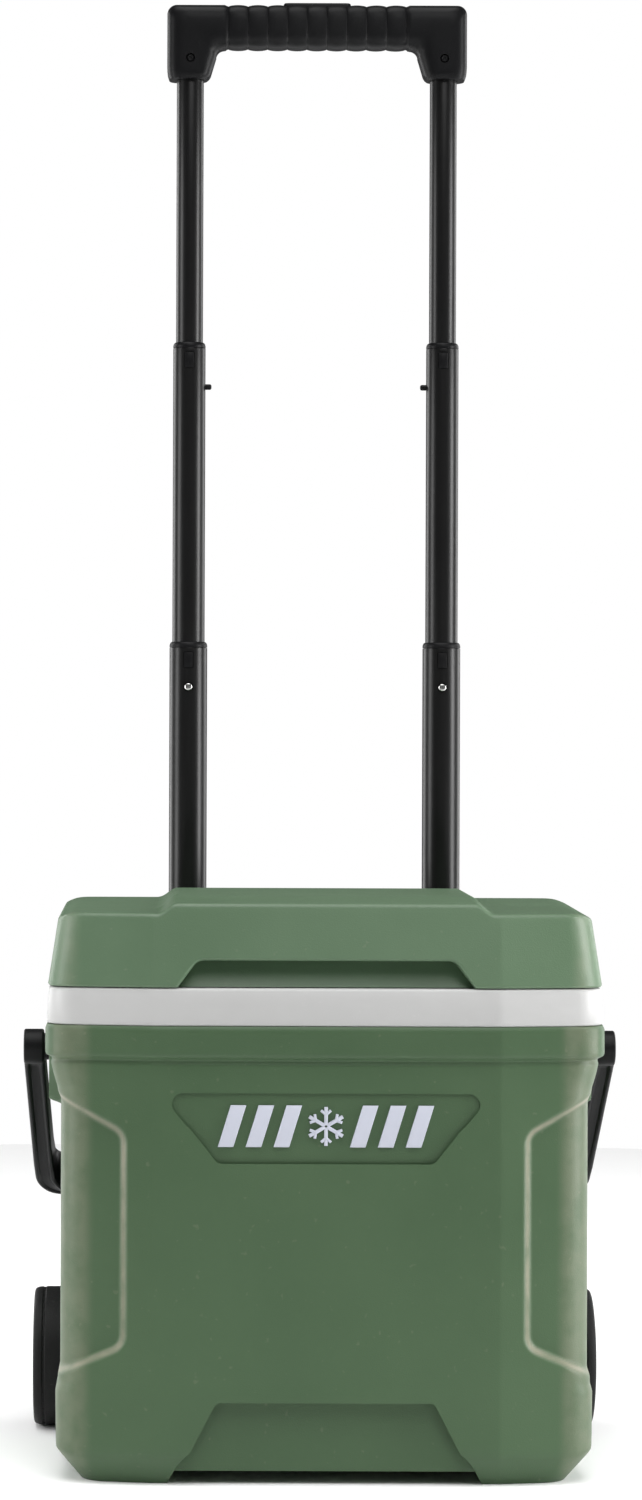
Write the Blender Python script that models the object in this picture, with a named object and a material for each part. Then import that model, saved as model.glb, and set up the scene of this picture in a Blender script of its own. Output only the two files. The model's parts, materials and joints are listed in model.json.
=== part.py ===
"""Hard cooler on two wheels, with a swinging bail and a three-stage telescoping tow handle.

Sizes are in millimetres and every vertex is written in metres through MM.
X runs to the right as seen from the front, Y to the rear, Z up from the ground.
The origin is on the ground, under the middle of the bounding box.
Depths are given as the distance behind the front of the body: see behind().
"""

import math

import bmesh
import bpy
from mathutils import Matrix, Vector

MM = 0.001
GAP = 0.3

# Overall
DEPTH = 313.0
BODY_REAR = 285.0
RIM_HALF = 192.2
WAIST_HALF = 182.6

# Heights
UNDERSIDE = 9.2
WAIST_LOW, WAIST_HIGH = 68.0, 262.0
RIM_LOW, RIM_TOP = 290.0, 313.0
BAND_TOP = 338.7
LID_BOTTOM = 339.3
LID_FRONT_CREASE = 396.5
LID_RISE = 4.0
DECK_TOP = 321.0

# Lid and its hinge
LID_HALF = 190.6
LID_REAR = 226.0
HINGE_DEPTH, HINGE_HEIGHT = 236.0, 386.0
HINGE_SIDE = 55.0

# Bail
BAIL_DEPTH, BAIL_HEIGHT = 142.0, 289.0
BAIL_BAR_DEPTH, BAIL_BAR_HEIGHT = 295.0, 181.0
BAIL_PIVOT_SIDE, BAIL_BAR_SIDE = 203.5, 199.3

# Wheels
WHEEL_DEPTH, WHEEL_RADIUS = 262.0, 51.0
WHEEL_INNER, WHEEL_OUTER = 170.5, 206.3
WELL_RADIUS, WELL_WALL_SIDE = 57.0, 167.0
AXLE_RADIUS = 5.0

# Tow handle, extended
TUBE_DEPTH, TUBE_SIDE = 264.0, 94.0
WALL = 1.0
INNER_R, MIDDLE_R, OUTER_R = 10.0, 12.0, 14.0
GRIP_TOP, BAR_TOP, BAR_UNDER, EAR_BOTTOM = 1055.3, 1053.8, 1021.1, 998.4
MIDDLE_TOP, OUTER_TOP = 803.3, 581.0
INNER_BOTTOM, MIDDLE_BOTTOM, OUTER_BOTTOM = 758.3, 536.0, 268.0
MIDDLE_PIN, OUTER_PIN = 770.6, 547.6
SLEEVE_BOTTOM = 14.0

ROUND = 20
SIDES = (("left", -1), ("right", 1))


def behind(depth):
    """The Y of a place this far behind the front of the body."""
    return depth - DEPTH / 2


# Scene and materials


def clear_scene():
    for obj in list(bpy.data.objects):
        bpy.data.objects.remove(obj)


def material(name, colour, roughness, metallic=0.0):
    made = bpy.data.materials.new(name)
    made.use_nodes = True
    shader = made.node_tree.nodes["Principled BSDF"]
    shader.inputs["Base Color"].default_value = (*colour, 1.0)
    shader.inputs["Roughness"].default_value = roughness
    shader.inputs["Metallic"].default_value = metallic
    made.diffuse_color = (*colour, 1.0)
    return made


def palette():
    return {
        "green": material("green_plastic", (0.085, 0.135, 0.082), 0.55),
        "grey": material("light_grey_plastic", (0.52, 0.52, 0.53), 0.5),
        "black": material("black_plastic", (0.012, 0.012, 0.013), 0.5),
        "tube": material("black_coated_aluminium", (0.014, 0.014, 0.014), 0.35, 0.4),
        "steel": material("bright_steel", (0.6, 0.6, 0.6), 0.3, 1.0),
        "tyre": material("black_tyre", (0.015, 0.015, 0.015), 0.8),
        "foam": material("insulating_foam", (0.8, 0.76, 0.6), 0.9),
        "mark": material("pale_mark", (0.53, 0.55, 0.63), 0.5),
    }


# Mesh building


def finish(name, bm, look=None):
    """Turns a bmesh in millimetres into an object; one with no look is a cutter."""
    bmesh.ops.remove_doubles(bm, verts=bm.verts, dist=1e-5)
    bmesh.ops.recalc_face_normals(bm, faces=bm.faces)
    bmesh.ops.scale(bm, verts=bm.verts, vec=(MM, MM, MM))
    mesh = bpy.data.meshes.new(name)
    bm.to_mesh(mesh)
    bm.free()
    obj = bpy.data.objects.new(name, mesh)
    bpy.context.scene.collection.objects.link(obj)
    if look is None:
        obj.hide_render = True
        obj.display_type = "WIRE"
    else:
        mesh.materials.append(look)
        mesh.shade_smooth()
        mesh.set_sharp_from_angle(angle=math.radians(35))
    return obj


def boolean(obj, other, operation):
    modifier = obj.modifiers.new(f"{operation.lower()} {other.name}", "BOOLEAN")
    modifier.operation = operation
    modifier.solver = "EXACT"
    modifier.object = other


def cut(obj, *cutters):
    for cutter in cutters:
        boolean(obj, cutter, "DIFFERENCE")


def join(obj, *others):
    for other in others:
        boolean(obj, other, "UNION")


def keep(obj, other):
    boolean(obj, other, "INTERSECT")


def bevel(obj, width, segments=2, angle=35):
    modifier = obj.modifiers.new("bevel", "BEVEL")
    modifier.width = width * MM
    modifier.segments = segments
    modifier.limit_method = "ANGLE"
    modifier.angle_limit = math.radians(angle)


def loft(name, rings, look=None):
    """A closed body through rings of equal length, capped at the first and the last."""
    bm = bmesh.new()
    rows = [[bm.verts.new(p) for p in ring] for ring in rings]
    count = len(rows[0])
    for low, high in zip(rows, rows[1:]):
        for i in range(count):
            j = (i + 1) % count
            bm.faces.new((low[i], low[j], high[j], high[i]))
    bm.faces.new(list(reversed(rows[0])))
    bm.faces.new(rows[-1])
    return finish(name, bm, look)


def prism(name, points, place, low, high, look=None):
    """A flat outline carried from low to high; place turns (u, v, w) into a point in space."""
    ends = [[Vector(place(u, v, w)) for u, v in points] for w in (low, high)]
    return loft(name, ends, look)


def front_view(x, z, y):
    return (x, y, z)


def side_view(y, z, x):
    return (x, y, z)


def top_view(x, y, z):
    return (x, y, z)


def box(name, low, high, look=None):
    corners = [(low[0], low[1]), (high[0], low[1]), (high[0], high[1]), (low[0], high[1])]
    return prism(name, corners, top_view, low[2], high[2], look)


def turned(name, profile, centre, axis, look=None, segments=ROUND):
    """A closed (radius, height) profile turned about an axis through the centre."""
    turn = Vector((0, 0, 1)).rotation_difference(Vector(axis)).to_matrix().to_4x4()
    frame = Matrix.Translation(Vector(centre)) @ turn
    bm = bmesh.new()
    rows = []
    for k in range(segments):
        angle = 2 * math.pi * (k + 0.5) / segments
        side = Vector((math.cos(angle), math.sin(angle), 0))
        rows.append([bm.verts.new(frame @ (side * r + Vector((0, 0, h)))) for r, h in profile])
    count = len(profile)
    for k in range(segments):
        here, there = rows[k], rows[(k + 1) % segments]
        for i in range(count):
            j = (i + 1) % count
            if profile[i][0] > 0 or profile[j][0] > 0:
                bm.faces.new((here[i], there[i], there[j], here[j]))
    return finish(name, bm, look)


def rod(name, radius, start, end, look=None, segments=ROUND):
    """A plain round bar from one point to another."""
    start, end = Vector(start), Vector(end)
    length = (end - start).length
    profile = [(0, 0), (radius, 0), (radius, length), (0, length)]
    return turned(name, profile, start, end - start, look, segments)


def ring_profile(inner, outer, low, high):
    return [(inner, low), (outer, low), (outer, high), (inner, high)]


def arc(centre_u, centre_v, radius, start, end, steps):
    """Points of an arc, from one angle in degrees to another."""
    turns = [math.radians(start + (end - start) * k / steps) for k in range(steps + 1)]
    return [(centre_u + radius * math.cos(a), centre_v + radius * math.sin(a)) for a in turns]


# Plan outlines

FLAT_HALF = 119.0
BOW = 10.0


def outline(z, half, front, rear, bow=BOW, front_radius=22.0, rear_radius=24.0):
    """A ring of the body's plan: flat middle, faceted front corners and rounded ends."""
    slope = math.tan(math.radians(bow))
    middle = half - front_radius
    start = middle + front_radius * math.sin(math.radians(bow))
    arc_y = front + (start - FLAT_HALF) * slope + front_radius * math.cos(math.radians(bow))
    right = [(FLAT_HALF, front)]
    right += arc(middle, arc_y, front_radius, bow - 90, 0, 5)
    right += arc(half - rear_radius, rear - rear_radius, rear_radius, 0, 90, 4)
    ring = right + [(-x, y) for x, y in reversed(right)]
    return [Vector((x, behind(y), z)) for x, y in ring]


def tub_outline(z, half, front, rear):
    return outline(z, half, front, rear, 0.0, 28.0, 28.0)


def body_rings(profile, **shape):
    return [outline(z, half, front, rear, **shape) for z, half, front, rear in profile]


def placed(obj, pivot):
    """Hangs a finished piece on the empty that stands on its joint's axis."""
    obj.data.transform(Matrix.Translation(-pivot.location))
    obj.parent = pivot


def pivot_at(name, x, depth, z):
    empty = bpy.data.objects.new(name, None)
    empty.empty_display_size = 0.02
    empty.location = (x * MM, behind(depth) * MM, z * MM)
    bpy.context.scene.collection.objects.link(empty)
    return empty


# Cooler body


def well_shape(name, side, grow):
    """The space that a wheel turns in, open to the side, the rear and the ground."""
    radius = WELL_RADIUS + grow
    y = behind(WHEEL_DEPTH)
    points = arc(y, WHEEL_RADIUS, radius, 180, 45, 12)
    points += [(y + 80, WHEEL_RADIUS + radius * 0.8), (y + 80, -20), (y - radius, -20)]
    start = side * (WELL_WALL_SIDE - grow)
    return prism(name, points, side_view, start, side * 230)


def axle_boss(name, side, grow):
    y = behind(WHEEL_DEPTH)
    low = [side * (118 - grow), y - 13 - grow, WHEEL_RADIUS - 13 - grow]
    high = [side * 180, y + 13 + grow, WHEEL_RADIUS + 13 + grow]
    return box(name, low, high)


def corner_panel(name, side):
    """The sunk panel that wraps each front corner: the outline less the panel's own floor."""
    points = [(135, 110), (135, 230), (136.2, 238), (139.5, 245), (183, 271), (215, 289)]
    points += [(215, 44), (183, 67), (139, 98), (136, 103)]
    outer = [(side * x, z) for x, z in points]
    panel = prism(name, outer, front_view, behind(-6), behind(95))
    floor = [(20, 181.3, 7.5, 300), (320, 181.3, 7.5, 300)]
    cut(panel, loft(f"{name}_floor", body_rings(floor)))
    return panel


def name_recess():
    right = arc(70, 224, 7, -90, -35, 3) + arc(98, 260, 8, -35, 90, 4)
    points = right + [(-x, z) for x, z in reversed(right)]
    return prism("cut_name_recess", points, front_view, behind(-2), behind(5))


def body_shell(look):
    profile = [
        (0, 166.5, 14, 279),
        (19.5, 181.4, 0.6, 284),
        (24, 183.9, 0, BODY_REAR),
        (62, 184.4, 0.3, BODY_REAR),
        (WAIST_LOW, WAIST_HALF, 0.4, BODY_REAR),
        (WAIST_HIGH, WAIST_HALF, 2.7, BODY_REAR),
        (268, 183.4, 2.8, BODY_REAR),
        (278, 186.6, 2.9, BODY_REAR),
        (287.5, 188.5, 3, BODY_REAR),
        (291, 191.6, 0.5, BODY_REAR),
        (294, RIM_HALF, 0, BODY_REAR),
        (310.5, RIM_HALF, 0, BODY_REAR),
        (RIM_TOP, 191.6, 0.6, BODY_REAR - 0.6),
    ]
    shell = loft("body_shell", body_rings(profile), look)
    hollow_profile = [
        (UNDERSIDE + 3, 174.4, 13.6, 281.4),
        (58, 177.9, 13.6, 282),
        (66, 177.9, 10.6, 282),
        (286, 177.9, 10.6, 282),
        (293, 188.6, 3.4, 282),
        (298, 188.6, 3.4, 282),
        (300, 188.6, 3.4, 268),
        (330, 188.6, 3.4, 268),
    ]
    hollow = loft("cut_body_hollow", body_rings(hollow_profile))
    cut(shell, corner_panel("cut_panel_left", -1), corner_panel("cut_panel_right", 1))
    boss_root = [(behind(112), 246), (behind(172), 246), (behind(172), 300), (behind(112), 300)]
    boss_face = [(behind(120), 254), (behind(164), 254), (behind(164), 300), (behind(120), 300)]
    for word, side in SIDES:
        root = [Vector((side * 178, y, z)) for y, z in boss_root]
        face = [Vector((side * 192.3, y, z)) for y, z in boss_face]
        join(shell, loft(f"add_bail_boss_{word}", [root, face]))
        cut(hollow, well_shape(f"cut_hollow_well_{word}", side, 3))
        cut(hollow, axle_boss(f"cut_hollow_boss_{word}", side, 0))
    cut(shell, hollow)
    for word, side in SIDES:
        cut(shell, well_shape(f"cut_well_{word}", side, 0))
        x, y = side * TUBE_SIDE, behind(TUBE_DEPTH)
        cut(shell, rod(f"cut_sleeve_way_{word}", 16.9, (x, y, 290), (x, y, 340)))
        y = behind(WHEEL_DEPTH)
        start, end = (side * 121, y, WHEEL_RADIUS), (side * 200, y, WHEEL_RADIUS)
        cut(shell, rod(f"cut_axle_hole_{word}", AXLE_RADIUS + GAP, start, end))
        y = behind(BAIL_DEPTH)
        start, end = (side * 186, y, BAIL_HEIGHT), (side * 200, y, BAIL_HEIGHT)
        cut(shell, rod(f"cut_bail_pin_hole_{word}", 4.3, start, end))
    notch = [(-102, UNDERSIDE - 1), (102, UNDERSIDE - 1), (102, UNDERSIDE), (77, 52.6), (72, 57)]
    notch += [(-72, 57), (-77, 52.6), (-102, UNDERSIDE)]
    cut(shell, prism("cut_front_notch", notch, front_view, behind(-3), behind(10)))
    under = [(-109, -3), (109, -3), (103, UNDERSIDE - 0.4), (102.4, UNDERSIDE)]
    under += [(-102.4, UNDERSIDE), (-103, UNDERSIDE - 0.4)]
    cut(shell, prism("cut_between_feet", under, front_view, behind(-5), behind(300)))
    cut(shell, box("cut_behind_feet", (-195, behind(95), -4), (195, behind(300), UNDERSIDE)))
    cut(shell, name_recess())
    for screw, (x, depth) in enumerate(DECK_SCREWS):
        y = behind(depth)
        cut(shell, rod(f"cut_shell_screw_{screw}", 2.1, (x, y, 302), (x, y, 318), segments=12))
    return shell


DECK_SCREWS = [(-140, 276), (-34, 276), (34, 276), (140, 276)]


def body_liner(look):
    """The tub and its collar in one moulding; the collar is the pale band under the lid."""
    rings = [
        tub_outline(35.5, 152.5, 29.5, 212.5),
        tub_outline(336.1, 158.5, 25.5, 216.5),
        outline(336.1, 186.9, 4.7, 227.5, rear_radius=3.0),
        outline(RIM_TOP + GAP, 188.4, 3.5, 227.5, rear_radius=3.0),
        outline(RIM_TOP + GAP, 191.2, 1.0, 230, rear_radius=4.0),
        outline(BAND_TOP, 189.8, 2.2, 230, rear_radius=4.0),
        tub_outline(BAND_TOP, 156, 28, 214),
        tub_outline(38, 150, 32, 210),
    ]
    return loft("body_liner", rings, look)


def body_foam(look):
    """The insulation that fills the space between the shell and the liner."""
    profile = [
        (UNDERSIDE + 3.4, 174.0, 14, 244),
        (58, 177.5, 14, 244),
        (66, 177.5, 11, 244),
        (286, 177.5, 11, 244),
        (297, 186.2, 6, 226.8),
        (335.7, 185.4, 7, 226.8),
    ]
    foam = loft("body_foam", body_rings(profile, rear_radius=3.0), look)
    tub = [tub_outline(35.1, 152.9, 29.1, 212.9), tub_outline(340, 159, 25.1, 217)]
    cut(foam, loft("cut_foam_tub", tub))
    for word, side in SIDES:
        cut(foam, well_shape(f"cut_foam_well_{word}", side, 3.5))
        cut(foam, axle_boss(f"cut_foam_boss_{word}", side, 0.4))
    return foam


def emblem(look):
    """A generic mark: a snowflake between two groups of slanted bars on a thin backing."""
    y_back, y_face = behind(4.7), behind(4.1)
    middle = 245.0
    plate_right = arc(74, middle - 9, 5, -90, 0, 2) + arc(74, middle + 9, 5, 0, 90, 2)
    plate = plate_right + [(-x, z) for x, z in reversed(plate_right)]
    mark = prism("emblem", plate, front_view, y_face, y_back, look)
    for k in range(3):
        turn = math.radians(60 * k + 90)
        along = Vector((math.cos(turn), math.sin(turn)))
        across = Vector((-along.y, along.x))
        corners = [along * 12 + across * 1.3, along * -12 + across * 1.3]
        corners += [along * -12 - across * 1.3, along * 12 - across * 1.3]
        points = [(c.x, c.y + middle) for c in corners]
        join(mark, prism(f"add_flake_arm_{k}", points, front_view, behind(3.2 + 0.03 * k), y_face + 0.2))
    for side in (-1, 1):
        for k in range(3):
            x = side * (26 + 19 * k)
            points = [(x - 9, middle - 13), (x + 1, middle - 13), (x + 9, middle + 13)]
            points += [(x - 1, middle + 13)]
            bar = prism(f"add_bar_{side}_{k}", points, front_view, behind(3.2), y_face + 0.2)
            join(mark, bar)
    return mark


def rear_housing(look):
    """The black deck behind the lid: it guides the tubes and carries the lid's hinge towers."""
    right = [(190.4, 230.6)] + arc(166.4, 260.4, 24, 0, 90, 4)
    points = [(x, behind(y)) for x, y in right + [(-x, y) for x, y in reversed(right)]]
    deck = prism("rear_housing", points, top_view, RIM_TOP + GAP, DECK_TOP, look)
    y, z = behind(HINGE_DEPTH), HINGE_HEIGHT
    tower = [(y + 11, RIM_TOP + 3), (y + 9, DECK_TOP + 20), (y + 7, z)]
    tower += arc(y, z, 7, 30, 180, 5) + [(y - 5, DECK_TOP + 12), (y - 5.2, RIM_TOP + 3)]
    for word, side in SIDES:
        x = side * HINGE_SIDE
        join(deck, prism(f"add_tower_{word}", tower, side_view, x - 11, x + 11))
        pipe = (side * TUBE_SIDE, behind(TUBE_DEPTH))
        cut(deck, rod(f"cut_deck_sleeve_{word}", 16.9, (*pipe, 300), (*pipe, 340)))
        cut(deck, rod(f"cut_tower_pin_{word}", 2.8, (x - 15, y, z), (x + 15, y, z), segments=16))
    for screw, (x, depth) in enumerate(DECK_SCREWS):
        spot = (x, behind(depth))
        cut(deck, rod(f"cut_deck_screw_{screw}", 2.1, (*spot, 300), (*spot, 340), segments=12))
    return deck


def deck_screws(look):
    profile = [(0, 303), (1.8, 303), (1.8, DECK_TOP + GAP), (4.2, DECK_TOP + GAP)]
    profile += [(4.2, DECK_TOP + 1.4), (3.0, DECK_TOP + 2.6), (0, DECK_TOP + 2.9)]
    for screw, (x, depth) in enumerate(DECK_SCREWS):
        turned(f"deck_screw_{screw + 1}", profile, (x, behind(depth), 0), (0, 0, 1), look, 12)


def guide_sleeve(word, side, look):
    """The plastic guide that each outer tube slides in, with its collar on the deck."""
    bore, outer, collar = OUTER_R + 0.35, 16.5, 19.5
    profile = [(bore, SLEEVE_BOTTOM), (outer, SLEEVE_BOTTOM), (outer, DECK_TOP + GAP)]
    profile += [(collar, DECK_TOP + GAP), (collar, DECK_TOP + 3), (collar - 2, DECK_TOP + 5)]
    profile += [(bore, DECK_TOP + 5)]
    centre = (side * TUBE_SIDE, behind(TUBE_DEPTH), 0)
    return turned(f"guide_sleeve_{word}", profile, centre, (0, 0, 1), look)


# Lid


def lid_form(name, inset, look=None, bottom=LID_BOTTOM):
    """The lid's outer form, or the same form drawn in by a wall's thickness."""
    profile = []
    for z in (bottom, 411):
        draft = 0.15 * (z - LID_BOTTOM)
        profile.append((z, LID_HALF - draft - inset, 1.6 + draft + inset, LID_REAR - inset))
    form = loft(name, body_rings(profile, rear_radius=12.0), look)
    top = LID_FRONT_CREASE - inset
    side_top = top - 7.2
    right = [(200, 320), (200, side_top - 11), (173 - inset, side_top), (115 - inset, side_top)]
    right += [(102 - inset, top)]
    section = right + [(-x, z) for x, z in reversed(right)]
    rise = LID_RISE / LID_REAR
    ends = []
    for depth in (-10, LID_REAR + 10):
        lift = rise * depth
        ends.append([Vector((x, behind(depth), z if z == 320 else z + lift)) for x, z in section])
    keep(form, loft(f"{name}_section", ends))
    return form


def finger_recess(name, grow):
    low, high = LID_BOTTOM - 6, 357 + grow
    right = [(107.4 + grow, low), (94.8 + grow, 350), (91.8 + grow, 354.6), (86, high)]
    points = right + [(-x, z) for x, z in reversed(right)]
    return prism(name, points, front_view, behind(-4), behind(19 + grow))


def lid_rear_edge(name, grow):
    """The bevel along the lid's upper rear edge, which swings closest to the tubes."""
    y = behind(LID_REAR - grow)
    points = [(y + 4, 380 - grow), (y + 4, 420), (y - 12, 420), (y - 8, 404 - grow)]
    points += [(y - 1.5, 391 - grow), (y + 0.8, 386 - grow)]
    return prism(name, points, side_view, -220, 220)


def lid_pieces(looks, pivot):
    shell = lid_form("lid_shell", 0, looks["green"])
    hollow = lid_form("cut_lid_hollow", 2.6, bottom=LID_BOTTOM - 5)
    cut(hollow, finger_recess("cut_lid_hollow_recess", 2.4))
    cut(hollow, lid_rear_edge("cut_lid_hollow_rear", 2.6))
    cut(shell, lid_rear_edge("cut_lid_rear", 0))
    cut(shell, finger_recess("cut_lid_recess", 0), hollow)
    rings = [
        tub_outline(327, 150.5, 36, 209.5),
        tub_outline(339.6, 152, 34.5, 211),
        outline(339.6, 186.8, 4.9, 222.8, rear_radius=12.0),
        outline(341.6, 186.6, 5.1, 222.8, rear_radius=12.0),
        tub_outline(341.6, 150, 36.5, 209),
        tub_outline(329, 148.5, 38, 207.5),
    ]
    liner = loft("lid_liner", rings, looks["grey"])
    cut(liner, finger_recess("cut_lid_liner_recess", 2.8))
    foam = lid_form("lid_foam", 3.0, looks["foam"], bottom=342.0)
    plug = [tub_outline(329.4, 148, 38.5, 207), tub_outline(350, 148, 38.5, 207)]
    join(foam, loft("add_lid_foam_plug", plug))
    cut(foam, finger_recess("cut_lid_foam_recess", 2.8))
    cut(foam, lid_rear_edge("cut_lid_foam_rear", 3.2))
    y, z = behind(HINGE_DEPTH), HINGE_HEIGHT
    ear = arc(y, z, 7, -60, 120, 6) + [(y - 8.5, z + 6), (y - 9.6, z + 3), (y - 9.6, z - 22)]
    ear += [(y - 7.6, z - 22)]
    pieces = [shell, liner, foam]
    for word, side in SIDES:
        x = side * HINGE_SIDE
        bracket = prism(f"lid_hinge_{word}", ear, side_view, x - 16.5, x + 16.5, looks["black"])
        slot = [(y - 7.4, z - 30), (y + 20, z - 30), (y + 20, z + 20), (y - 7.4, z + 20)]
        cut(bracket, prism(f"cut_hinge_slot_{word}", slot, side_view, x - 11.4, x + 11.4))
        start, end = (x - 20, y, z), (x + 20, y, z)
        cut(bracket, rod(f"cut_hinge_pin_{word}", 2.8, start, end, segments=16))
        pieces.append(bracket)
    for piece in pieces:
        placed(piece, pivot)


def hinge_pins(look):
    for word, side in SIDES:
        x, y, z = side * HINGE_SIDE, behind(HINGE_DEPTH), HINGE_HEIGHT
        rod(f"hinge_pin_{word}", 2.5, (x - 17.5, y, z), (x + 17.5, y, z), look, 16)


# Bail


def bail_path(reach, corner_radius=22.0):
    """Half of the bail's centre line: side, distance from the pivot and half of the height."""
    lean = (BAIL_PIVOT_SIDE - BAIL_BAR_SIDE) / reach
    path = [(BAIL_PIVOT_SIDE - lean * r, r, 11.0 + 3.2 * r / reach) for r in (0.0, 70.0, 130.0)]
    middle = (BAIL_BAR_SIDE - corner_radius, reach - corner_radius)
    return path + [(x, r, 14.2) for x, r in arc(*middle, corner_radius, 0, 90, 6)]


def bail_handle(look, pivot):
    """One moulded U: two arms, two round corners and an upright crossbar, with round pivot ends."""
    out = Vector((0, BAIL_BAR_DEPTH - BAIL_DEPTH, BAIL_BAR_HEIGHT - BAIL_HEIGHT))
    along = out.normalized()
    centre = Vector((0, behind(BAIL_DEPTH), BAIL_HEIGHT))
    right = bail_path(out.length)
    path = right + [(-x, r, half) for x, r, half in reversed(right)]
    spots = [centre + Vector((x, 0, 0)) + along * r for x, r, half in path]
    rings = []
    for i, (x, r, half) in enumerate(path):
        run = (spots[min(i + 1, len(path) - 1)] - spots[max(i - 1, 0)]).normalized()
        arm_share = abs(run.dot(along))
        tall = Vector((0, 0, 1)) * (1 - arm_share) + Vector((0, -along.z, along.y)) * arm_share
        tall = (tall - run * tall.dot(run)).normalized()
        wide = run.cross(tall)
        thick = 7.3 * arm_share + 8.7 * (1 - arm_share)
        quarter = [(1, 0.8), (0.8, 1), (-0.8, 1), (-1, 0.8)]
        section = quarter + [(-a, -u) for a, u in quarter]
        rings.append([spots[i] + wide * a * thick + tall * u * half for a, u in section])
    bail = loft("bail_handle", rings, look)
    for word, side in SIDES:
        near, far = side * (BAIL_PIVOT_SIDE - 7.1), side * (BAIL_PIVOT_SIDE + 7.2)
        spot = (behind(BAIL_DEPTH), BAIL_HEIGHT)
        join(bail, rod(f"add_bail_eye_{word}", 12.5, (near, *spot), (far, *spot)))
        hub = (side * 193.0, *spot)
        join(bail, rod(f"add_bail_hub_{word}", 9.5, hub, (side * 200, *spot)))
        cut(bail, rod(f"cut_bail_bore_{word}", 4.3, (side * 190, *spot), (side * 215, *spot)))
        recess = (side * 205.4, *spot)
        cut(bail, rod(f"cut_bail_recess_{word}", 7.5, recess, (side * 215, *spot)))
    placed(bail, pivot)


def bail_pins(look):
    profile = [(0, 186.6), (4.0, 186.6), (4.0, 205.7), (7.0, 205.7), (7.0, 208), (5.5, 209.4)]
    profile += [(0, 209.4)]
    for word, side in SIDES:
        spot = (0, behind(BAIL_DEPTH), BAIL_HEIGHT)
        turned(f"bail_pin_{word}", profile, spot, (side, 0, 0), look)


# Wheels


def stub_axle(word, side, look):
    profile = [(0, 122), (AXLE_RADIUS, 122), (AXLE_RADIUS, 167.4), (9, 167.4), (9, 170)]
    profile += [(AXLE_RADIUS, 170), (AXLE_RADIUS, 198.1), (0, 198.1)]
    spot = (0, behind(WHEEL_DEPTH), WHEEL_RADIUS)
    turned(f"stub_axle_{word}", profile, spot, (side, 0, 0), look)
    nut = [(5.4, 194.2), (9.5, 194.2), (9.5, 195.8), (7, 197.2), (5.4, 197.2)]
    turned(f"axle_push_nut_{word}", nut, spot, (side, 0, 0), look, 16)


def wheel_pieces(word, side, looks, pivot):
    spot = (0, behind(WHEEL_DEPTH), WHEEL_RADIUS)
    inner, outer, radius = WHEEL_INNER, WHEEL_OUTER, WHEEL_RADIUS
    tread = [(44.3, inner + 1), (46.5, inner), (radius - 1.6, inner + 1.2), (radius, inner + 4)]
    tread += [(radius, outer - 4), (radius - 1.6, outer - 1.2), (46.5, outer), (44.3, outer - 1)]
    tyre = turned(f"wheel_tyre_{word}", tread, spot, (side, 0, 0), looks["tyre"], 28)
    hub = [(5.3, 170.6), (12, 170.6), (12, 184), (37, 186), (37, 173), (44, 172)]
    hub += [(44, 204.8), (37, 203.8), (37, 191), (16, 190), (16, 200.8), (12, 200.8), (12, 193.8)]
    hub += [(5.3, 193.8)]
    rim = turned(f"wheel_hub_{word}", hub, spot, (side, 0, 0), looks["black"], 28)
    disc = [(0, 199.2), (11.7, 199.2), (11.7, 201.1), (16, 201.1), (16, 202.4), (12, 204.0)]
    disc += [(0, 204.6)]
    cap = turned(f"hub_cap_{word}", disc, spot, (side, 0, 0), looks["black"])
    for piece in (tyre, rim, cap):
        placed(piece, pivot)


# Telescoping tow handle


def tube(name, side, radius, low, high, look):
    centre = (side * TUBE_SIDE, behind(TUBE_DEPTH), 0)
    profile = ring_profile(radius - WALL, radius, low, high)
    return turned(name, profile, centre, (0, 0, 1), look)


def tube_window(name, side, radius, z):
    """The window near a tube's top that its collar snaps into."""
    x, y = side * TUBE_SIDE, behind(TUBE_DEPTH)
    return box(name, (x - 3.8, y - radius - 2, z - 6.4), (x + 3.8, y - radius + 4, z + 6.4))


def collar(name, side, bore, radius, top, window, look):
    """The plastic bush in a tube's mouth: a round-shouldered ring, a skirt and a snap tab."""
    fit = 0.25
    skirt = radius - WALL - 0.2
    profile = [(bore + fit, top - 29), (skirt, top - 29), (skirt, top - 4), (radius, top - 4)]
    profile += [(radius, top - 2.4), (radius - 0.9, top - 0.5), (radius - 1.5, top)]
    profile += [(bore + fit, top)]
    x, y = side * TUBE_SIDE, behind(TUBE_DEPTH)
    bush = turned(name, profile, (x, y, 0), (0, 0, 1), look)
    low = (x - 3.4, y - radius + 0.4, window - 6)
    tab = box(f"add_{name}_tab", low, (x + 3.4, y - bore - fit - 0.05, window + 6))
    join(bush, tab)
    return bush


def glide(name, side, radius, bore, flange, top, spigot_top, look):
    """The plastic foot in a tube's lower end, which steadies it in the next tube."""
    spigot = radius - WALL - 0.3
    profile = [(bore, top - 6), (flange, top - 6), (flange, top - GAP), (spigot, top - GAP)]
    profile += [(spigot, spigot_top), (bore, spigot_top)]
    centre = (side * TUBE_SIDE, behind(TUBE_DEPTH), 0)
    return turned(name, profile, centre, (0, 0, 1), look)


def cross_hole(name, side, radius, z, hole, to_front):
    """A hole through one wall of a tube, facing the front or the other tube."""
    x, y = side * TUBE_SIDE, behind(TUBE_DEPTH)
    near, far = radius - 4, radius + 3
    if to_front:
        return rod(name, hole, (x, y - near, z), (x, y - far, z), segments=16)
    return rod(name, hole, (x - side * near, y, z), (x - side * far, y, z), segments=16)


def lower_stage(looks, pivot):
    window = OUTER_TOP - 13.3
    for word, side in SIDES:
        outer = tube(f"outer_tube_{word}", side, OUTER_R, OUTER_BOTTOM, OUTER_TOP - 4 - GAP, looks["tube"])
        cut(outer, tube_window(f"cut_outer_window_{word}", side, OUTER_R, window))
        cut(outer, cross_hole(f"cut_outer_pin_{word}", side, OUTER_R, OUTER_PIN, 3.4, True))
        name = f"outer_collar_{word}"
        bush = collar(name, side, MIDDLE_R, OUTER_R, OUTER_TOP, window, looks["black"])
        for piece in (outer, bush):
            placed(piece, pivot)


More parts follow.
